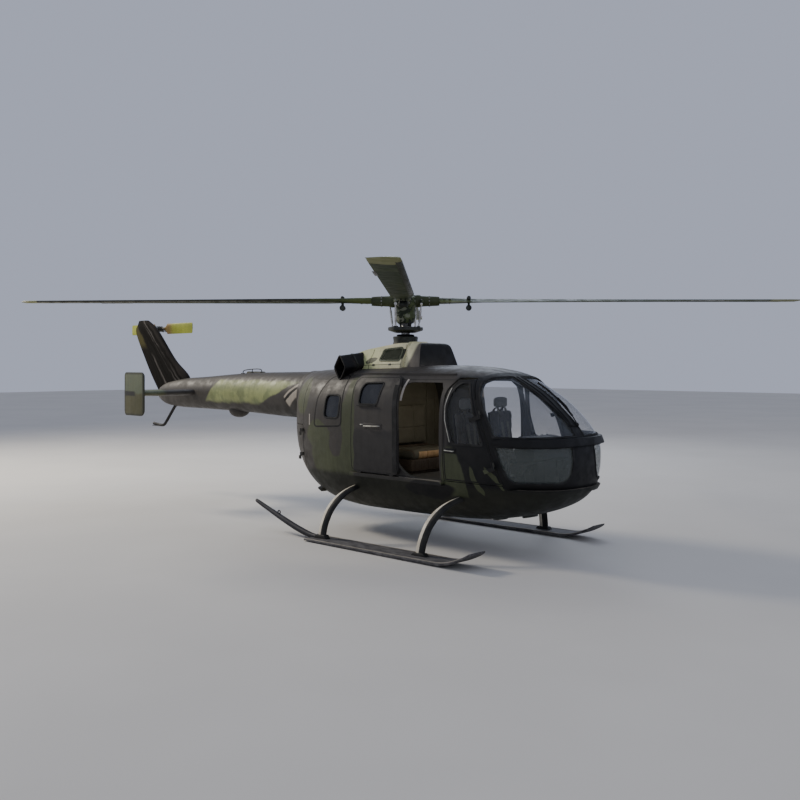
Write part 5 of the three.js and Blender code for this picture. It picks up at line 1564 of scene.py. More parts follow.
class BuildMainRotor(bpy.types.Operator):
    """Mast, swashplate, pitch links, rigid hub and four blades"""

    bl_idname = "helicopter.main_rotor"
    bl_label = "Main rotor"

    def execute(self, context):
        mast = turned([(0, 2.2903), (0.052, 2.2903), (0.052, 2.475), (0.0545, 2.478), (0.0545, 2.515),
                       (0.052, 2.6), (0.049, 2.605), (0.049, 2.6397), (0, 2.6397)], (MAST_X, 0, 0), sides=40)
        piece("mast_tube", mast, "main_rotor", material("steel"), ["rotor_mast"])
        body = turned([(0, 2.64), (0.094, 2.64), (0.106, 2.645), (0.112, 2.67), (0.124, 2.7), (0.127, 2.72),
                       (0.124, 2.76), (0.122, 2.81), (0.128, 2.84), (0.144, 2.856), (0.15, 2.866), (0.15, 2.955),
                       (0.144, 2.966), (0.116, 2.98), (0.108, 2.996), (0.07, 3.012), (0.062, 3.034), (0.056, 3.04),
                       (0, 3.04)], (0, 0, 0), sides=56)
        collars = [revolved([(0.12, z), (0.131, z), (0.131, z + 0.012), (0.12, z + 0.012)], (0, 0, 0)) for z in
                   (2.735, 2.80)]
        rim_bolts = [fastener(Vector((0.125 * math.cos(a), 0.125 * math.sin(a), 2.974)), Vector((0, 0, 1)), 0.008)
                     for a in turns(12, 0.13)]
        cap_bolts = [fastener(Vector((0.088 * math.cos(a), 0.088 * math.sin(a), 3.004)), Vector((0, 0, 1)), 0.006)
                     for a in turns(12)]
        sleeve = turned([(0, 0.06), (0.078, 0.1), (0.08, 0.17), (0.076, 0.19), (0.069, 0.2), (0.064, 0.29),
                         (0.0665, 0.294), (0.0665, 0.312), (0.064, 0.316), (0.06, 0.4), (0.056, 0.4297), (0, 0.4297)],
                        (0, 0, ROTOR_Z), (1, 0, 0), 36)
        ring_bolts = [fastener(Vector((0.303, 0.0665 * math.cos(a), ROTOR_Z + 0.0665 * math.sin(a))), Vector(
            (0, math.cos(a), math.sin(a))), 0.006) for a in turns(10)]
        horn = bevelled(solid("UNION", block((0.184, -0.125, 2.903), (0.226, 0, 2.929)),
                              turned([(0, 2.9), (0.024, 2.9), (0.024, 2.93), (0, 2.93)], (0.205, -0.118, 0), sides=24)),
                        0.003)
        horn_bolt = fastener(Vector((0.205, -0.118, 2.93)), Vector((0, 0, 1)), 0.009)
        piece("rotor_hub_body", joined(on_mast(joined(body, *collars)), on_all_arms(horn)), "main_rotor",
              material("hub"), ["rotor_hub"])
        piece("blade_sleeves", on_all_arms(sleeve), "main_rotor", material("sleeve"))
        piece("rotor_hub_bolts", joined(on_mast(joined(*rim_bolts, *cap_bolts)), on_all_arms(horn_bolt, *ring_bolts)),
              "main_rotor", material("steel"))
        plate = revolved([(0.056, 2.52), (0.13, 2.52), (0.215, 2.548), (0.222, 2.553), (0.222, 2.586), (0.217, 2.59),
                          (0.19, 2.59), (0.184, 2.582), (0.12, 2.582), (0.115, 2.59), (0.058, 2.59)], (0, 0, 0),
                         sides=64)
        lug = bevelled(block((0.148, -0.142, 2.545), (0.19, -0.085, 2.602)), 0.006)
        plate_bolts = [fastener(Vector((0.2 * math.cos(a), 0.2 * math.sin(a), 2.59)), Vector((0, 0, 1)), 0.0055)
                       for a in turns(20, 0.1)]
        drive = [bevelled(block((-0.012, 0.085, 2.6), (0.012, 0.105, 2.7)), 0.003),
                 bar((0, 0.1, 2.69), (0, 0.155, 2.645), 0.011), bar((0, 0.155, 2.645), (0, 0.13, 2.59), 0.011),
                 bar((-0.02, 0.155, 2.645), (0.02, 0.155, 2.645), 0.013)]
        scissors = [moved(joined(*drive), Matrix.Rotation(angle, 4, "Z")) for angle in (0.5, 0.5 + math.pi)]
        piece("swashplate_ring", joined(on_mast(joined(plate, *scissors)), on_all_arms(lug)), "main_rotor",
              material("gunmetal"), ["swashplate"])
        foot, head = Vector((0.168, -0.118, 2.585)), Vector((0.205, -0.118, 2.895))
        rod = [bar(foot, head, 0.0095), bar(foot.lerp(head, 0.22), foot.lerp(head, 0.72), 0.0145),
               bar(foot.lerp(head, 0.18), foot.lerp(head, 0.22), 0.0125, 6),
               bar(foot.lerp(head, 0.72), foot.lerp(head, 0.76), 0.0125, 6)]
        eyes = [bar(spot - Vector((0.013, 0, 0)), spot + Vector((0.013, 0, 0)), 0.019, 20) for spot in
                (foot + Vector((0, 0, 0.012)), head - Vector((0, 0, 0.018)))]
        piece("pitch_rods", on_all_arms(*rod, *eyes), "main_rotor", material("bright"), smooth=40)
        piece("swashplate_bolts", on_mast(joined(*plate_bolts)), "main_rotor", material("steel"))
        weight = turned([(0, -0.055), (0.028, -0.055), (0.036, -0.045), (0.036, 0.045), (0.028, 0.055), (0, 0.055)],
                        (0.80, 0.0, ROTOR_Z - 0.085), (0, 1, 0), 24)
        hanger = [bevelled(block((0.786, y - 0.006, ROTOR_Z - 0.09), (0.814, y + 0.006, ROTOR_Z - 0.008)), 0.002)
                  for y in (-0.03, 0.03)]
        hanger.append(turned([(0, -0.05), (0.02, -0.05), (0.026, -0.042), (0.026, 0.042), (0.02, 0.05), (0, 0.05)],
                             (0.80, 0.0, ROTOR_Z + 0.04), (0, 1, 0), 20))
        piece("pendulum_weights", on_all_arms(weight, *hanger), "main_rotor", material("gunmetal"))
        blade = loft([blade_ring(*row[:4]) for row in refined_linear(BLADE_ROWS, 0.24)])
        shield_rows = [row for row in refined_linear(BLADE_ROWS, 0.24) if 1.0 < row[0] < 4.86]
        shield = solid("INTERSECT", loft([blade_ring(*row, 0.0009) for row in shield_rows]),
                       block((0.9, 0.082, 2.5), (5, 0.3, 3.3)))
        tab = bevelled(block((3.55, -0.152, ROTOR_Z - 0.010), (3.95, -0.12, ROTOR_Z - 0.006)), 0.0012)
        pins = [fastener(Vector((x, y, ROTOR_Z + lift)), Vector((0, 0, way)), 0.011) for x in (0.49, 0.56)
                for y in (-0.028, 0.028) for way, lift in ((1, 0.025), (-1, -0.025))]
        for quarter in range(4):
            number = quarter + 1
            piece(f"blade_{number}", on_mast(blade, quarter), "main_rotor", material("blade"),
                  [f"rotor_blade_{number}"], smooth=50)
            piece(f"blade_shield_{number}", on_mast(shield, quarter), "main_rotor", material("blade_edge"),
                  smooth=50)
        piece("blade_pins", on_all_arms(*pins, tab), "main_rotor", material("steel"))
        return {"FINISHED"}


def refined_linear(rows, step):
    """More rows between given ones, on straight lines, by their first number."""
    result = []
    for before, after in zip(rows, rows[1:]):
        parts = max(1, math.ceil((after[0] - before[0]) / step))
        result += [tuple(a + (b - a) * k / parts for a, b in zip(before, after)) for k in range(parts)]
    return result + [tuple(rows[-1])]


class BuildTailRotor(bpy.types.Operator):
    """Tail gearbox and two-blade tail rotor"""

    bl_idname = "helicopter.tail_rotor"
    bl_label = "Tail rotor"

    def execute(self, context):
        x, y, z = TAIL_HUB
        housing = turned([(0, 0), (0.062, 0), (0.062, 0.12), (0.06, 0.125), (0.06, 0.155), (0.05, 0.17),
                          (0.046, 0.2), (0.05, 0.205), (0.05, 0.229), (0, 0.229)], (x, 0, z), (0, 1, 0), 36)
        ribs = [revolved([(0.058, a), (0.0665, a), (0.0665, a + 0.004), (0.058, a + 0.004)], (x, 0, z), (0, 1, 0), 36)
                for a in (0.078, 0.09, 0.102, 0.114)]
        studs = [fastener(Vector((x + 0.043 * math.cos(a), 0.205, z + 0.043 * math.sin(a))), Vector((0, 1, 0)), 0.0045)
                 for a in turns(8)]
        piece("tail_gearbox_housing", joined(housing, *ribs, *studs), "airframe", material("gunmetal"),
              ["tail_gearbox"])
        hub = turned([(0, y - 0.0547), (0.04, y - 0.0547), (0.044, y - 0.045), (0.046, y - 0.03), (0.048, y - 0.02),
                      (0.048, y + 0.02), (0.04, y + 0.03), (0.026, y + 0.036), (0.02, y + 0.045), (0, y + 0.045)],
                     (x, 0, z), (0, 1, 0), 32)
        halves = []
        for way in (1, -1):
            rings = []
            for reach, chord, thick in ((0.03, 0.06, 0.05), (0.11, 0.062, 0.042), (0.15, 0.072, 0.036),
                                        (0.2, 0.18, 0.024), (0.55, 0.18, 0.022), (0.93, 0.178, 0.02),
                                        (0.95, 0.15, 0.008)):
                lead = Vector((x + way * reach, y, z + way * chord / 2))
                rings.append(wing_ring(lead, chord, thick, Vector((0, 0, -way)), Vector((0, 1, 0))))
            halves.append(loft(rings))
        piece("tail_rotor_blades", joined(hub, *halves), "anti_torque_rotor", material("tail_blade"),
              ["tail_rotor"], smooth=45)
        parts = []
        for way in (1, -1):
            for reach in (0.085, 0.12):
                for turn in (1, -1):
                    parts.append(fastener(Vector((x + way * reach, y + turn * 0.0205, z)), Vector((0, turn, 0)), 0.007))
            parts.append(bar((x + way * 0.075, y + 0.052, z - way * 0.05), (x + way * 0.075, y + 0.01, z - way * 0.042),
                             0.006))
            parts.append(bar((x, y + 0.05, z), (x + way * 0.075, y + 0.05, z - way * 0.05), 0.007))
            parts.append(bevelled(block((x + way * 0.062 - 0.014, y - 0.006, z - way * 0.045 - 0.012),
                                        (x + way * 0.062 + 0.014, y + 0.006, z - way * 0.045 + 0.012)), 0.003))
        spider = turned([(0, y + 0.045), (0.018, y + 0.045), (0.018, y + 0.06), (0.012, y + 0.064), (0, y + 0.064)],
                        (x, 0, z), (0, 1, 0), 24)
        piece("tail_rotor_links", joined(spider, *parts), "anti_torque_rotor", material("steel"))
        return {"FINISHED"}


# Landing gear

LEG_ARCH = ((-1.16, 0.062), (-1.13, 0.2), (-1.04, 0.39), (-0.88, 0.54), (-0.64, 0.632), (-0.3, 0.67))
LEGS = (("front", 3.178, 3.0), ("rear", 1.535, 1.41))
SPAR_ROWS = ((0.14, 0.366, 0.018), (0.15, 0.363, 0.022), (0.42, 0.272, 0.030), (0.7, 0.18, 0.036),
             (1.0, 0.092, 0.038), (1.24, 0.044, 0.034), (1.36, 0.042, 0.028))


def leg_rings(root, foot):
    half = [(y, z, 0, 0, 0) for y, z in LEG_ARCH]
    line = refined(half + [(-y, z, 0, 0, 0) for y, z in reversed(LEG_ARCH)], 6)
    points = [Vector((0, row[0], row[1])) for row in line]
    rings = []
    for k, centre in enumerate(points):
        tangent = (points[min(k + 1, len(points) - 1)] - points[max(k - 1, 0)]).normalized()
        across = tangent.cross(Vector((1, 0, 0)))
        reach = min(abs(centre.y), 1.16)
        spread = 0.12 - 0.036 * (1 - reach / 1.16) + 0.022 * math.exp(-((reach - 0.98) / 0.13) ** 2) \
            - 0.016 * math.exp(-((reach - 0.62) / 0.12) ** 2)
        out = max(0, abs(centre.y) - 0.64) / 0.52
        x = root + (foot - root) * out
        rings.append([Vector((x, centre.y, centre.z)) + Vector((1, 0, 0)) * (spread / 2 * a)
                      + across * (0.031 * b) for a, b in circle(1, 28)])
    return rings


class BuildGear(bpy.types.Operator):
    """Two arched legs, broad skis with wear plates, their spars and saddles"""

    bl_idname = "helicopter.gear"
    bl_label = "Landing gear"

    def execute(self, context):
        for name, root, foot in LEGS:
            # Faces turned aft take the pale copy of the leg paint: painted light on the legs' lit side.
            piece(f"leg_{name}", loft(leg_rings(root, foot)), "airframe", [material("leg"), material("leg_painted_light")],
                  [f"cross_tube_{name}"], chooser=lambda face: 1 if face.normal.x < -0.03 else 0)
        ski = loft(ski_rings())
        spar = spar_mesh()
        # Pale strips along both long edges of the ski top: painted highlight of the ski's lit edges, in the worn edge
        # paint.
        edges = []
        top = Surface(ski)
        for y in (-1.306, -1.014):
            line = [top.top(x, y) for x in span(1.28, 3.7, 0.07)]
            edges.append(strip(([p for p, _ in line], [n for _, n in line]), 0.011, 0.005, closed=False))
        saddles, bolts = [], []
        for _, _, foot in LEGS:
            saddle = side_prism([(foot - 0.12, 0.025), (foot + 0.12, 0.025), (foot + 0.075, 0.082),
                                 (foot - 0.075, 0.082)], -1.2, -1.12)
            saddles.append(bevelled(saddle, 0.008, 3))
            for x in (-0.1, 0.1):
                for y in (-1.18, -1.14):
                    bolts.append(fastener(Vector((foot + x, y, 0.052)), Vector((math.copysign(0.9, x), 0, 0.7)), 0.007))
            for x in (-0.2, 0.2):
                bolts.append(fastener(Vector((foot + x, -1.245, 0.034)), Vector((0, 0, 1)), 0.007))
                bolts.append(fastener(Vector((foot + x, -1.075, 0.034)), Vector((0, 0, 1)), 0.007))
        plate = bevelled(block((1.26, -1.28, 0.0), (3.3, -1.04, 0.012)), 0.002, 2)
        eye = revolved([(0.016, -0.006), (0.026, -0.006), (0.026, 0.006), (0.016, 0.006)], (0.6, -1.16, 0.262),
                       (0, 1, 0), 20)
        for name, way in SIDES:
            piece(f"ski_{name}", on_side(ski, way), "airframe", material("tread"),
                  [f"runner_{name}"], smooth=20)
            piece(f"ski_edges_{name}", on_side(joined(*edges), way), "airframe", material("worn_edge"))
            piece(f"spar_{name}", on_side(joined(spar, eye), way), "airframe", material("spar"))
            piece(f"saddles_{name}", on_side(joined(*saddles), way), "airframe", material("leg"))
            piece(f"saddle_bolts_{name}", on_side(joined(*bolts), way), "airframe", material("gunmetal"))
            piece(f"sole_plate_{name}", on_side(plate, way), "airframe", material("worn_steel"),
                  [f"wear_plate_{name}"])
        return {"FINISHED"}


def spar_mesh():
    rows = refined([row + (0, 0) for row in SPAR_ROWS], 5)
    return loft([[(row[0], -1.16 + row[2] * a, row[1] + row[2] * b) for a, b in circle(1, 24)] for row in rows])


def ski_rings():
    """Sections of a broad ski from its square heel to its upturned toe, its top a little crowned."""
    rings = []
    for x in span(1.26, TOE_START, 0.12) + span(3.34, 3.74, 0.04) + [3.765, 3.785, 3.79]:
        bend = max(0, x - TOE_START)
        low = 0.0123 + 0.66 * bend ** 2
        thick = min(0.034, 0.022 + 0.006 * (x - 1.26)) - 0.028 * bend
        half = 0.1605 - (0.002 if x < 3.74 else 0.9 * (x - 3.74) ** 1.2)
        across = [(-1, 0.2), (-0.97, 0), (0.97, 0), (1, 0.2), (1, 0.75), (0.975, 0.93), (0.9, 0.98), (0.45, 1.06),
                  (0, 1.1), (-0.45, 1.06), (-0.9, 0.98), (-0.975, 0.93), (-1, 0.75)]
        rings.append([(x, -1.161 + half * a, low + thick * b) for a, b in across])
    return rings


# Cabin

def swollen(mesh, voxel, limit, pressure=4.0):
    """A padded shape blown up by cloth simulation, no point further than a limit."""
    shape = bpy.data.objects.new("swollen", mesh.copy())
    bpy.context.scene.collection.objects.link(shape)
    grid = shape.modifiers.new("grid", "REMESH")
    grid.mode, grid.voxel_size = "VOXEL", voxel
    flat = baked(shape)
    shape.modifiers.clear()
    shape.data = flat
    start = [vertex.co.copy() for vertex in flat.vertices]
    cloth = shape.modifiers.new("cloth", "CLOTH")
    cloth.settings.use_pressure = True
    cloth.settings.uniform_pressure_force = pressure
    cloth.settings.effector_weights.gravity = 0
    cloth.settings.quality = 6
    cloth.settings.tension_stiffness = 25
    cloth.settings.compression_stiffness = 25
    cloth.settings.mass = 0.4
    for number in range(1, 21):
        bpy.context.scene.frame_set(number)
    puffed = baked(shape)
    bpy.data.objects.remove(shape)
    for vertex, place in zip(puffed.vertices, start):
        way = vertex.co - place
        if way.length > limit:
            vertex.co = place + way * (limit / way.length)
    bpy.context.scene.frame_set(1)
    return puffed


def baked(shape):
    """A copy of an object's mesh with its modifiers applied."""
    depsgraph = bpy.context.evaluated_depsgraph_get()
    return bpy.data.meshes.new_from_object(shape.evaluated_get(depsgraph))


def subdivided(mesh):
    shape = bpy.data.objects.new("subdivided", mesh)
    bpy.context.scene.collection.objects.link(shape)
    smooth = shape.modifiers.new("smooth", "SUBSURF")
    smooth.levels = 1
    result = baked(shape)
    bpy.data.objects.remove(shape)
    return result


def pad(outline, low, high, gather=0.014, shoulder=0.03, axis="y"):
    """A padded form: a side outline between two planes, its edges rounded and its ends drawn in."""
    rings = []
    steps = ((0.0, gather * 1.9), (0.012, gather * 0.7), (0.045, gather * 0.15), (0.09, 0.0))
    places = [low + a for a, _ in steps] + [high - a for a, _ in reversed(steps)]
    shrinks = [b for _, b in steps] + [b for _, b in reversed(steps)]
    for place, shrink in zip(places, shrinks):
        ring = inset(rounded(outline, shoulder, 5), shrink)
        rings.append([(x, place, z) for x, z in ring])
    return loft(rings)


def sewn(mesh, lines, depth, width):
    """Presses sewn channels into a pad: each line is a test that gives a distance from the seam."""
    for vertex, normal in zip(mesh.vertices, [n.vector.copy() for n in mesh.vertex_normals]):
        pull = max((math.exp(-(line(vertex.co) / width) ** 2) for line in lines), default=0)
        vertex.co -= normal * depth * pull
    return mesh


class BuildSeats(bpy.types.Operator):
    """Front seats with sewn covers and belts, and the rear bench with its leather cushion"""

    bl_idname = "helicopter.seats"
    bl_label = "Seats and bench"

    def execute(self, context):
        swell = context.scene.helicopter_sizes.cushion_swell
        cushion = pad([(3.037, 1.004), (3.486, 1.004), (3.494, 1.078), (3.47, 1.084), (3.037, 1.074)], -0.522, -0.118,
                      shoulder=0.028)
        cushion = sewn(subdivided(swollen(cushion, 0.009, swell)), [
            lambda p: abs(p.y + 0.42), lambda p: abs(p.y + 0.22),
            lambda p: abs(p.x - 3.2) if -0.42 < p.y < -0.22 else 1,
            lambda p: abs(p.x - 3.34) if -0.42 < p.y < -0.22 else 1],
            0.008, 0.006)
        keep_within(cushion, (3.03, -0.53, 1.0003), (3.5, -0.11, 1.094))
        low = ((2.966, 1.006), (3.022, 1.006), (3.022, 1.082), (2.99, 1.555), (2.975, 1.59), (2.925, 1.585),
               (2.915, 1.55))
        back = pad(low, -0.522, -0.118, shoulder=0.024)
        back = sewn(subdivided(swollen(back, 0.009, swell)), [
            lambda p: abs(p.y + 0.425), lambda p: abs(p.y + 0.215),
            lambda p: abs(p.z - 1.2) if -0.425 < p.y < -0.215 else 1,
            lambda p: abs(p.z - 1.36) if -0.425 < p.y < -0.215 else 1], 0.008, 0.006)
        head = pad(((2.93, 1.605), (2.982, 1.605), (2.986, 1.64), (2.984, 1.725), (2.93, 1.732), (2.924, 1.66)), -0.445,
                   -0.195, gather=0.02, shoulder=0.022)
        head = subdivided(swollen(head, 0.007, 0.012))
        posts = [bar((2.952, y, 1.56), (2.955, y, 1.62), 0.007) for y in (-0.37, -0.27)]
        pan = bevelled(block((2.97, -0.515, 0.955), (3.455, -0.125, 0.9995)), 0.01, 3)
        shell_back = bevelled(side_prism([(2.945, 1.01), (2.96, 1.01), (2.918, 1.55), (2.902, 1.55)], -0.5, -0.14),
                              0.006)
        legs = []
        for y in (-0.5, -0.15):
            legs.append(bevelled(side_prism([(2.98, 0.8), (3.03, 0.8), (3.10, 0.95), (3.38, 0.95), (3.40, 0.8),
                                             (3.45, 0.8), (3.45, 0.96), (2.98, 0.96)], y - 0.008, y + 0.008), 0.003))
            legs.append(bevelled(block((2.953, y - 0.014, 0.7955), (3.458, y + 0.014, 0.809)), 0.003))
        lever = pipe(smooth_line([(3.30, -0.526, 0.93), (3.38, -0.528, 0.935), (3.45, -0.528, 0.965)], 0.03), 0.007, 10)
        belts = []
        for y, lean in ((-0.39, 0.02), (-0.25, -0.02)):
            path = smooth_line([(2.905, y, 1.45), (2.91, y, 1.575), (2.96, y, 1.604), (3.006, y + lean * 0.5, 1.5),
                                (3.05, y + lean, 1.25), (3.075, y + lean * 2, 1.106)], 0.03)
            belts.append(sweep(path, [(-0.022, -0.0012), (0.022, -0.0012), (0.022, 0.0012), (-0.022, 0.0012)],
                               [Vector((1, 0, 0.25))] * len(path)))
        for way in (-1, 1):
            path = smooth_line([(3.05, -0.32 + way * 0.205, 1.02), (3.075, -0.32 + way * 0.17, 1.1),
                                (3.13, -0.32 + way * 0.09, 1.106), (3.17, -0.32 + way * 0.03, 1.106)], 0.03)
            belts.append(sweep(path, [(-0.022, -0.0012), (0.022, -0.0012), (0.022, 0.0012), (-0.022, 0.0012)],
                               [Vector((0, 0, 1))] * len(path)))
        buckle = bevelled(block((3.155, -0.35, 1.098), (3.21, -0.29, 1.114)), 0.005, 2)
        for name, side in SIDES:
            piece(f"seat_frame_{name}", on_side(joined(pan, shell_back, lever, *legs, *posts), side), "airframe",
                  material("plastic"), [f"front_seat_{name}"])
            seat = piece(f"seat_pad_{name}", on_side(cushion, side), "airframe", material("fabric"),
                         [f"seat_cushion_{name}"], smooth=70)
            rest = piece(f"seat_backrest_{name}", on_side(back, side), "airframe", material("fabric"),
                         [f"seat_back_{name}"], smooth=70)
            top = piece(f"head_rest_{name}", on_side(head, side), "airframe", material("head_fabric"),
                        smooth=70)
            piece(f"seat_belts_{name}", on_side(joined(*belts), side), "airframe", material("webbing"))
            piece(f"seat_buckle_{name}", on_side(buckle, side), "airframe", material("steel"))
        self.bench(swell)
        return {"FINISHED"}

    def bench(self, swell):
        box = joined(bevelled(block((1.72, -0.428, 0.83), (2.195, 0.428, 0.972)), 0.01, 3),
                     bevelled(block((1.632, -0.428, 0.83), (1.71, 0.428, 1.098)), 0.01, 3),
                     bevelled(block((1.74, -0.4, 0.7955), (2.16, 0.4, 0.835)), 0.004))
        ribs = [bevelled(block((2.192, y - 0.006, 0.845), (2.1985, y + 0.006, 0.96)), 0.002) for y in
                span(-0.36, 0.36, 0.12)]
        piece("bench_box", joined(box, *ribs), "airframe", material("bench_front"), ["rear_bench"])
        seat = pad([(1.722, 0.981), (2.212, 0.981), (2.224, 1.03), (2.218, 1.073), (1.722, 1.066)], -0.424, 0.424,
                   shoulder=0.03)
        seat = sewn(subdivided(swollen(seat, 0.0105, swell * 0.8)), [lambda p: abs(abs(p.y) - 0.145)], 0.012, 0.008)
        keep_within(seat, (1.7, -0.43, 0.9755), (2.229, 0.43, 1.09))
        shown = piece("bench_pad", seat, "airframe", [material("tan"), material("olive_lining")],
                      ["rear_bench_cushion"], smooth=70,
                      chooser=lambda face: 1 if face.center.z > 1.064 or abs(face.center.y) > 0.30 else 0)
        back = pad([(1.64, 1.106), (1.702, 1.106), (1.675, 1.612), (1.62, 1.612)], -0.424, 0.424, shoulder=0.022)
        back = sewn(subdivided(swollen(back, 0.0105, 0.014)), [
            lambda p: abs(abs(p.y) - 0.145), lambda p: abs(p.z - 1.32)], 0.010, 0.007)
        shown = piece("bench_backrest", back, "airframe", material("olive_lining"),
                      ["rear_bench_back"], smooth=70)
        piping = [pipe(smooth_line([(1.75, y, 1.079), (1.9, y, 1.083), (2.1, y, 1.084), (2.19, y, 1.076),
                                    (2.222, y, 1.045), (2.215, y, 1.0)], 0.03), 0.0035, 8) for y in (-0.408, 0.408)]
        piece("bench_piping", joined(*piping), "airframe", material("brown_leather"), smooth=60)


def keep_within(mesh, low, high):
    """Stops a swollen pad at the faces of what it rests on."""
    for vertex in mesh.vertices:
        vertex.co = Vector([min(max(value, a), b) for value, a, b in zip(vertex.co, low, high)])


class BuildCabin(bpy.types.Operator):
    """Bulkhead, instrument panel, console and flying controls"""

    bl_idname = "helicopter.cabin"
    bl_label = "Cabin"

    def execute(self, context):
        wall = solid("INTERSECT", pod(0.0456), block((1.588, -0.9, 0.7953), (1.608, 0.9, 2.4)))
        battens = [bevelled(block((1.607, y - 0.012, 0.82), (1.615, y + 0.012, 1.98)), 0.003) for y in
                   (-0.66, -0.5, 0.5, 0.66)]
        battens += [bevelled(block((1.607, -0.7, z - 0.012), (1.613, 0.7, z + 0.012)), 0.003) for z in (1.68, 1.9)]
        piece("bulkhead_panel", joined(wall, *battens), "airframe", material("olive_lining"),
              ["cabin_bulkhead"])
        head_side = [(3.68, 1.01), (3.9, 1.06), (3.93, 1.285), (3.68, 1.325), (3.64, 1.2)]
        head = bevelled(solid("INTERSECT", side_prism(rounded(head_side, 0.03, 4), -0.33, 0.33),
                              front_prism(rounded([(-0.33, 1.0), (-0.33, 1.33), (0.33, 1.33), (0.33, 1.0)], 0.08),
                                          3.5, 4.0)), 0.006, 2)
        console = bevelled(side_prism([(3.48, 0.7955), (3.9, 0.7955), (3.9, 1.06), (3.685, 1.028), (3.48, 0.96)],
                                      -0.11, 0.11), 0.012, 3)
        piece("instrument_panel_body", joined(head, console), "airframe", material("plastic"),
              ["instrument_panel"])
        bezels, faces, knobs = [], [], []
        slope = Vector((-0.952, 0, 0.305))
        for row, z in enumerate((1.285, 1.23)):
            for y in span(-0.26, 0.26, 0.105):
                place = Vector((3.68 - (1.325 - z) * 0.32, y, z)) + slope * 0.002
                if row == 1 or abs(y) < 0.3:
                    bezels.append(revolved([(0.036, 0), (0.043, 0), (0.043, 0.006), (0.036, 0.008)], place, slope, 28))
                    faces.append(turned([(0, 0.001), (0.036, 0.001), (0.036, 0.003), (0, 0.003)], place, slope, 28))
                    needle = bevelled(block((-0.003, -0.002, 0.003), (0.027, 0.002, 0.0045)), 0.0005)
                    faces.append(on_skin(moved(needle, Matrix.Rotation(y * 9 + row, 4, "Z")), place, slope))
        for z in (1.16, 1.11, 1.06):
            for y in span(-0.24, 0.24, 0.08):
                place = Vector((3.64 + (1.2 - z) * 0.21, y, z))
                knobs.append(turned([(0, 0), (0.009, 0), (0.008, 0.016), (0, 0.016)], place, (-1, 0, -0.2), 14))
        for x in span(3.52, 3.66, 0.045):
            for y in span(-0.07, 0.07, 0.035):
                z = 0.973 + (x - 3.48) * 0.33
                knobs.append(turned([(0, 0), (0.006, 0), (0.005, 0.014), (0, 0.014)], (x, y, z), (-0.3, 0, 1), 12))
        piece("instrument_bezels", joined(*bezels, *knobs), "airframe", material("grey_plastic"))
        piece("instrument_dials", joined(*faces), "airframe", material("dial"))
        stick = pipe(smooth_line([(3.50, -0.32, 0.8), (3.54, -0.32, 0.95), (3.50, -0.32, 1.14), (3.44, -0.32, 1.22)],
                                 0.03), 0.011, 12)
        grip = pipe(smooth_line([(3.443, -0.32, 1.215), (3.425, -0.32, 1.25), (3.42, -0.32, 1.30),
                                 (3.432, -0.32, 1.345)], 0.015), 0.019, 14,
                    scale=None)
        boot = turned([(0, 0), (0.06, 0), (0.045, 0.02), (0.05, 0.03), (0.03, 0.05), (0.034, 0.058), (0.014, 0.08),
                       (0, 0.08)], (3.50, -0.32, 0.796), sides=24)
        lever = pipe(smooth_line([(3.02, -0.565, 0.9), (3.2, -0.565, 0.96), (3.36, -0.565, 1.04)], 0.03), 0.010, 12)
        twist = bar((3.34, -0.565, 1.031), (3.42, -0.565, 1.071), 0.018, 16)
        pedals = []
        for y in (-0.42, -0.24):
            pedals.append(bevelled(side_prism([(3.80, 0.93), (3.81, 0.925), (3.86, 1.03), (3.85, 1.035)], y - 0.045,
                                              y + 0.045), 0.004))
            pedals.append(bar((3.86, y, 0.8), (3.84, y, 0.97), 0.010))
        for name, side in SIDES:
            piece(f"flying_controls_{name}", on_side(joined(stick, lever, *pedals), side), "airframe",
                  material("gunmetal"))
            piece(f"control_grips_{name}", on_side(joined(grip, twist, boot), side), "airframe", material("rubber"))
        return {"FINISHED"}


# Small fittings

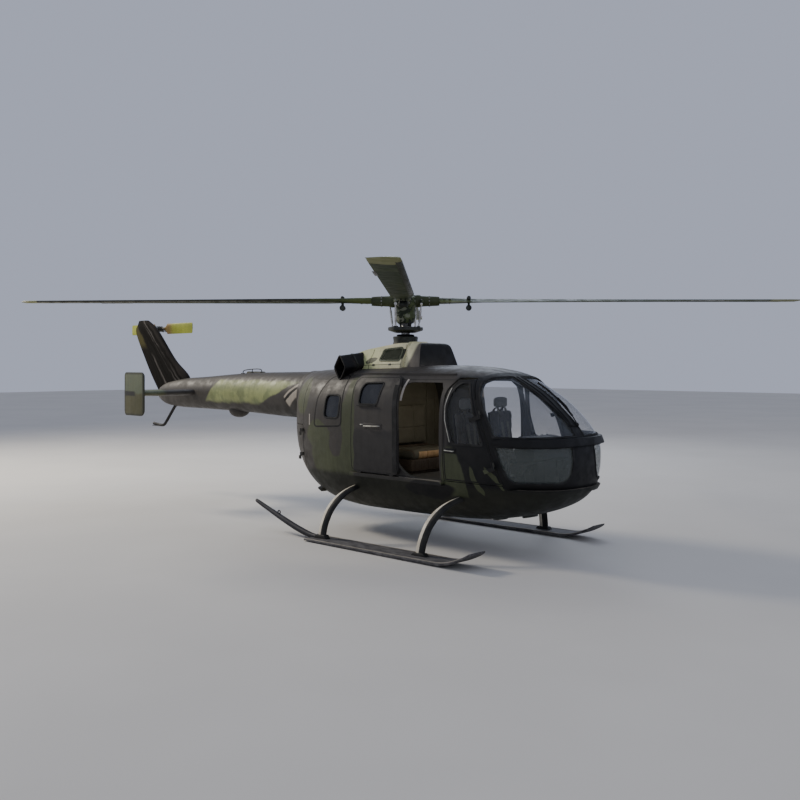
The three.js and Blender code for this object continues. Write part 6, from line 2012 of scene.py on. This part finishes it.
class BuildFittings(bpy.types.Operator):
    """Handles, rails, sills, the aerial and dome, lamps, wipers, seams and rivets"""

    bl_idname = "helicopter.fittings"
    bl_label = "Fittings"

    def execute(self, context):
        sizes = context.scene.helicopter_sizes
        skin = Surface(pod(0))
        slide = Surface(moved(slide_skin(0.038), Matrix.Translation((-SLIDE_TRAVEL, 0, 0))))
        boom = Surface(boom_mesh(0))
        aft = -SLIDE_TRAVEL
        panel_line = rounded([(1.34, 1.985), (0.98, 1.965), (0.84, 1.70), (0.79, 1.33), (1.34, 1.36)], 0.07, 5)
        grooves = [strip(skin.line(panel_line, step=0.025), 0.02, 0.0014)]
        grooves.append(strip(skin.line([(0.487, 0.83), (0.487, 1.95)], closed=False), 0.007, 0.0012))
        grooves.append(strip(skin.line([(0.60, 1.93), (3.28, 1.95)], closed=False), 0.006, 0.0012))
        edge = rounded([(2.205 + aft, 0.845), (2.215 + aft, 1.885), (2.26 + aft, 1.965), (2.93 + aft, 1.965),
                        (2.955 + aft, 1.885), (2.975 + aft, 1.35), (2.968 + aft, 0.845)], 0.05, 4)
        door_line = strip(slide.line(edge, step=0.03), 0.008, 0.0016)
        front_edge = strip(slide.line([(2.935 + aft, 0.86), (2.945 + aft, 1.35), (2.925 + aft, 1.88)], closed=False),
                           0.075, 0.006)
        handle = grab(slide, (1.80, 1.385), (2.05, 1.392), 0.028, 0.0075)
        pull = grab(slide, (1.73, 1.40), (1.775, 1.402), 0.014, 0.006)
        plate_place, plate_normal = slide.side(1.925, 1.389)
        plate = on_skin(bevelled(block((-0.155, -0.034, -0.001), (0.155, 0.034, 0.004)), 0.002), plate_place,
                        plate_normal)
        sash = bevelled(block((1.66 + 0.01, -0.84, 1.62), (2.0, -0.826, 1.636)), 0.002)
        crew_handle = grab(skin, (3.035, 1.17), (3.16, 1.165), 0.024, 0.006)
        crew_plate_place, crew_plate_normal = skin.side(3.1, 1.167)
        crew_plate = on_skin(bevelled(block((-0.085, -0.028, -0.001), (0.085, 0.028, 0.004)), 0.002),
                             crew_plate_place, crew_plate_normal)
        jamb_line = strip(skin.line(inset(FRONT_DOOR, 0.016), step=0.03), 0.014, 0.002)
        pale = strip(skin.line([(3.062, 1.86), (3.022, 1.66), (3.030, 1.5), (3.10, 1.262)], closed=False, step=0.02),
                     0.009, 0.0045)
        upper_rail = sweep([skin.side(x, 2.005)[0] for x in span(1.35, 3.0, 0.05)],
                           [(-0.012, -0.01), (0.012, -0.01), (0.012, 0.018), (-0.012, 0.018)],
                           [Vector((0, -1, 0))] * len(span(1.35, 3.0, 0.05)))
        sill = bevelled(block((2.30, -0.764, 0.8103), (2.94, -0.735, 0.8145)), 0.0015)
        jamb = strip(skin.line([(2.372, 1.945), (2.35, 1.86), (2.335, 1.70)], closed=False), 0.03, 0.004)
        mark = strip(skin.line([(0.68, 1.345), (0.68, 1.485)], closed=False), 0.022, 0.004)
        spots = []
        for outline, offset in ((FRONT_DOOR, -0.02), (REAR_DOOR, -0.022)):
            line = inset(outline, offset)
            spots += [(p.x, p.y) for p in dense(line, sizes.rivet_pitch) if 0.5 < p.x < 3.9 and 0.82 < p.y < 1.97]
        for z in (1.945, 1.78):
            spots += [(x, z) for x in span(0.52, 1.3, sizes.rivet_pitch)]
        spots += [(x, 0.855) for x in span(0.55, 1.5, sizes.rivet_pitch)]
        spots += [(0.505, z) for z in span(0.85, 1.9, sizes.rivet_pitch)]
        spots += [(0.468, z) for z in span(0.85, 1.9, sizes.rivet_pitch)]
        hits = [skin.side(x, z) for x, z in spots]
        belly_spots = []
        for z in (0.775, 0.52):
            belly_spots += [skin.side(x, z) for x in span(0.75, 3.6, sizes.rivet_pitch)]
        for x in (1.05, 1.9, 2.5, 3.45):
            belly_spots += [skin.side(x, z) for z in span(0.45, 0.75, sizes.rivet_pitch)]
        slide_hits = [slide.side(p.x, p.y) for p in dense(inset(edge, 0.02), sizes.rivet_pitch)]
        heads = rivets([p for p, _ in hits + belly_spots], [n for _, n in hits + belly_spots], sizes.rivet)
        slide_heads = rivets([p for p, _ in slide_hits], [n for _, n in slide_hits], sizes.rivet)
        for name, side in SIDES:
            piece(f"skin_seams_{name}", on_side(joined(*grooves), side), "airframe", material("shadow"))
            piece(f"skin_rivets_{name}", on_side(heads, side), "airframe", material("pod"),
                  smooth=60)
            piece(f"sliding_door_trim_{name}", on_side(joined(door_line, front_edge, sash), side),
                  f"cabin_door_{name}", material("rubber"))
            piece(f"sliding_door_rivets_{name}", on_side(slide_heads, side), f"cabin_door_{name}", material("pod"),
                  smooth=60)
            piece(f"sliding_door_plate_{name}", on_side(plate, side), f"cabin_door_{name}", material("pod"))
            piece(f"sliding_door_handle_{name}", on_side(joined(handle, pull), side), f"cabin_door_{name}",
                  material("pale_metal"))
            piece(f"front_door_trim_{name}", on_side(joined(jamb_line, crew_plate), side), f"crew_door_{name}",
                  material("black"))
            piece(f"front_door_handle_{name}", on_side(joined(crew_handle, pale), side), f"crew_door_{name}",
                  material("pale_metal"))
            piece(f"door_track_{name}", on_side(upper_rail, side), "airframe", material("brown"))
            piece(f"door_sill_{name}", on_side(sill, side), "airframe", material("worn_edge"))
            piece(f"doorway_edge_{name}", on_side(joined(jamb, mark), side), "airframe", material("pale_trim"))
        self.nose(skin)
        self.boom_parts(boom)
        return {"FINISHED"}

    def nose(self, skin):
        """Wipers, landing lamps and the centre post's cover strip"""
        arm_line = [skin.top(x, y) for x, y in ((4.19, -0.06), (4.12, -0.12), (4.02, -0.2), (3.92, -0.27))]
        blade_line = [skin.top(x, y) for x, y in ((4.10, -0.115), (4.0, -0.13), (3.88, -0.145), (3.74, -0.16),
                                                  (3.6, -0.17))]
        blade = sweep([p + n * 0.012 for p, n in blade_line], [(-0.006, -0.01), (0.006, -0.01), (0.004, 0.01),
                                                              (-0.004, 0.01)], [n for _, n in blade_line])
        wiper_arm = pipe([arm_line[0][0] + arm_line[0][1] * 0.02, blade_line[1][0] + blade_line[1][1] * 0.03,
                          blade_line[2][0] + blade_line[2][1] * 0.024], 0.006, 8)
        hub_place, hub_normal = arm_line[0]
        pivot = turned([(0, -0.01), (0.022, -0.01), (0.022, 0.02), (0.014, 0.03), (0, 0.03)], hub_place, hub_normal, 20)
        for name, side in SIDES:
            piece(f"wiper_{name}", on_side(joined(blade, wiper_arm, pivot), side), "airframe", material("rubber"))
        post = [skin.top(x, 0) for x in span(3.45, 4.2, 0.05)]
        cover = strip(([p for p, _ in post], [n for _, n in post]), 0.05, 0.008, closed=False)
        piece("nose_post_cover", cover, "airframe", material("black"))
        lamp, ring = [], []
        for x in (3.2, 3.62):
            place, normal = skin.below(x, 0)
            ring.append(revolved([(0.07, -0.004), (0.09, -0.004), (0.09, 0.014), (0.084, 0.02), (0.07, 0.02)], place,
                                 normal, 32))
            lamp.append(turned([(0, -0.004), (0.072, -0.004), (0.072, 0.006), (0.05, 0.018), (0, 0.024)], place,
                               normal, 32))
        piece("landing_lamp_rings", joined(*ring), "airframe", material("gunmetal"))
        piece("landing_lamps", joined(*lamp), "airframe", material("clear_lamp"))

    def boom_parts(self, boom):
        """The long aerial on the boom, the dome below it and the bumper"""
        tops = [boom.top(x, 0.0)[0] for x in (-1.69, -1.46, -1.23)]
        rail = pipe(smooth_line([tops[0], tops[0] + Vector((0.01, 0, 0.035)), tops[0] + Vector((0.05, 0, 0.05)),
                                 tops[2] + Vector((-0.05, 0, 0.05)), tops[2] + Vector((-0.01, 0, 0.035)), tops[2]],
                                0.05), 0.007, 10)
        posts = [bar(tops[1] - Vector((0, 0, 0.01)), tops[1] + Vector((0, 0, 0.052)), 0.006)]
        feet = [on_skin(bevelled(block((-0.03, -0.02, -0.004), (0.03, 0.02, 0.008)), 0.003), top, Vector((0, 0, 1)))
                for top in tops]
        piece("boom_aerial", joined(rail, *posts, *feet), "airframe", material("black"), smooth=50)
        rows = ((0.0, 0.004), (0.012, 0.034), (0.035, 0.06), (0.07, 0.09), (0.11, 0.112), (0.16, 0.126), (0.21, 0.13),
                (0.26, 0.126), (0.31, 0.112), (0.35, 0.09), (0.385, 0.06), (0.408, 0.034), (0.42, 0.004))
        dome = loft([[(-1.99 + along, size * a, 1.425 + size * 0.85 * b) for a, b in circle(1, 36)]
                     for along, size in rows])
        piece("boom_dome", dome, "airframe", material("brown"))
        route = smooth_line([(-3.43, 0, 1.53), (-3.62, 0, 1.34), (-3.79, 0, 1.165), (-3.85, 0, 1.115),
                             (-3.93, 0, 1.1), (-4.17, 0, 1.12)], 0.03)
        ankle = [revolved([(0.023, -0.02), (0.032, -0.02), (0.032, 0.02), (0.023, 0.02)], place, along, 24)
                 for place, along in (((-3.5, 0, 1.46), (-0.72, 0, -0.69)),)]
        sole = bevelled(block((-4.18, -0.028, 1.089), (-3.93, 0.028, 1.098)), 0.003, 2)
        piece("bumper_strut", joined(pipe(route, 0.024, 20), *ankle, moved(sole, Matrix.Translation((0, 0, -0.008)))),
              "airframe", material("black"), ["tail_bumper"], smooth=50)


def grab(skin, start, end, rise, radius):
    """A bent bar handle between two places in the side view."""
    a, na = skin.side(*start)
    b, nb = skin.side(*end)
    ahead = (b - a).normalized()
    line = [a - na * 0.004, a + na * rise * 0.8 + ahead * 0.004, a + na * rise + ahead * 0.018,
            b + nb * rise - ahead * 0.018, b + nb * rise * 0.8 - ahead * 0.004, b - nb * 0.004]
    return pipe(smooth_line(line, 0.02), radius, 10)


# Stage

class BuildInside(bpy.types.Operator):
    """Metal of the engine and gearbox blocks, closed in under the cowling"""

    bl_idname = "helicopter.inside"
    bl_label = "Closed-in blocks"

    def execute(self, context):
        for name in ("engine_block", "main_gearbox"):
            for slot in bpy.data.objects[name].material_slots:
                slot.material = material("gunmetal")
        return {"FINISHED"}


class BuildStage(bpy.types.Operator):
    """Camera at the photograph's viewing angle, pale floor and soft light"""

    bl_idname = "helicopter.stage"
    bl_label = "Stage"

    def execute(self, context):
        stage = context.scene.helicopter_stage
        floor = bpy.data.objects.new("studio_floor", mesh_of("studio_floor", [
            (-60, -60, 0), (60, -60, 0), (60, 60, 0), (-60, 60, 0)], [(0, 1, 2, 3)]))
        floor.data.materials.append(floor_finish(tuple(stage.floor)))
        context.scene.collection.objects.link(floor)
        data = bpy.data.cameras.new("photo_camera")
        data.lens, data.sensor_width, data.shift_y = stage.lens, 36.0, stage.horizon_shift
        data.clip_end = 200
        camera = bpy.data.objects.new("photo_camera", data)
        camera.location = (9.808, -8.692, stage.camera_height)
        camera.rotation_euler = Vector((-0.6896, 0.7242, 0)).to_track_quat("-Z", "Y").to_euler()
        context.scene.collection.objects.link(camera)
        context.scene.camera = camera
        world = bpy.data.worlds.new("soft_sky")
        context.scene.world = world
        world.use_nodes = True
        background = world.node_tree.nodes["Background"]
        background.inputs["Color"].default_value = (0.74, 0.80, 1.0, 1)
        background.inputs["Strength"].default_value = stage.sky_power
        lights = (("key", (-12.5, -4.0, 9.5), 3.0, 260 * stage.sun_power, (1.0, 0.92, 0.78)),
                  ("back", (-6.0, 10.0, 9.0), 7.0, 500.0, (0.80, 0.88, 1.0)),
                  ("cabin", (2.55, 0.0, 1.93), 0.6, 2.2, (1.0, 0.95, 0.84)),
                  ("fill", (12.0, -6.0, 7.0), 8.0, 80.0, (0.95, 0.97, 1.0)))
        for name, place, size, power, colour in lights:
            light = bpy.data.lights.new(name, "AREA")
            light.energy, light.size, light.color = power, size, colour
            holder = bpy.data.objects.new(name, light)
            holder.location = place
            holder.rotation_euler = (Vector((1.2, 0, 1.2)) - Vector(place)).to_track_quat("-Z", "Y").to_euler()
            context.scene.collection.objects.link(holder)
        return {"FINISHED"}


OPERATORS = (BuildPod, BuildDoors, BuildGlazing, BuildDeck, BuildTail, BuildMainRotor, BuildTailRotor, BuildGear,
             BuildSeats, BuildCabin, BuildFittings, BuildInside, BuildStage)


class HelicopterPanel(bpy.types.Panel):
    """Lists the build steps"""

    bl_idname = "VIEW3D_PT_helicopter"
    bl_label = "Helicopter"
    bl_space_type = "VIEW_3D"
    bl_region_type = "UI"
    bl_category = "Helicopter"

    def draw(self, context):
        for operator in OPERATORS:
            self.layout.operator(operator.bl_idname)


CLASSES = (PaintColours, PartSizes, StageSettings, *OPERATORS, HelicopterPanel)


def register():
    for kind in CLASSES:
        bpy.utils.register_class(kind)
    bpy.types.Scene.helicopter_paint = PointerProperty(type=PaintColours)
    bpy.types.Scene.helicopter_sizes = PointerProperty(type=PartSizes)
    bpy.types.Scene.helicopter_stage = PointerProperty(type=StageSettings)


def unregister():
    for name in ("helicopter_stage", "helicopter_sizes", "helicopter_paint"):
        delattr(bpy.types.Scene, name)
    for kind in reversed(CLASSES):
        bpy.utils.unregister_class(kind)


def main():
    random.seed(7)
    register()
    for operator in OPERATORS:
        group, name = operator.bl_idname.split(".")
        getattr(getattr(bpy.ops, group), name)()


if __name__ == "__main__":
    main()
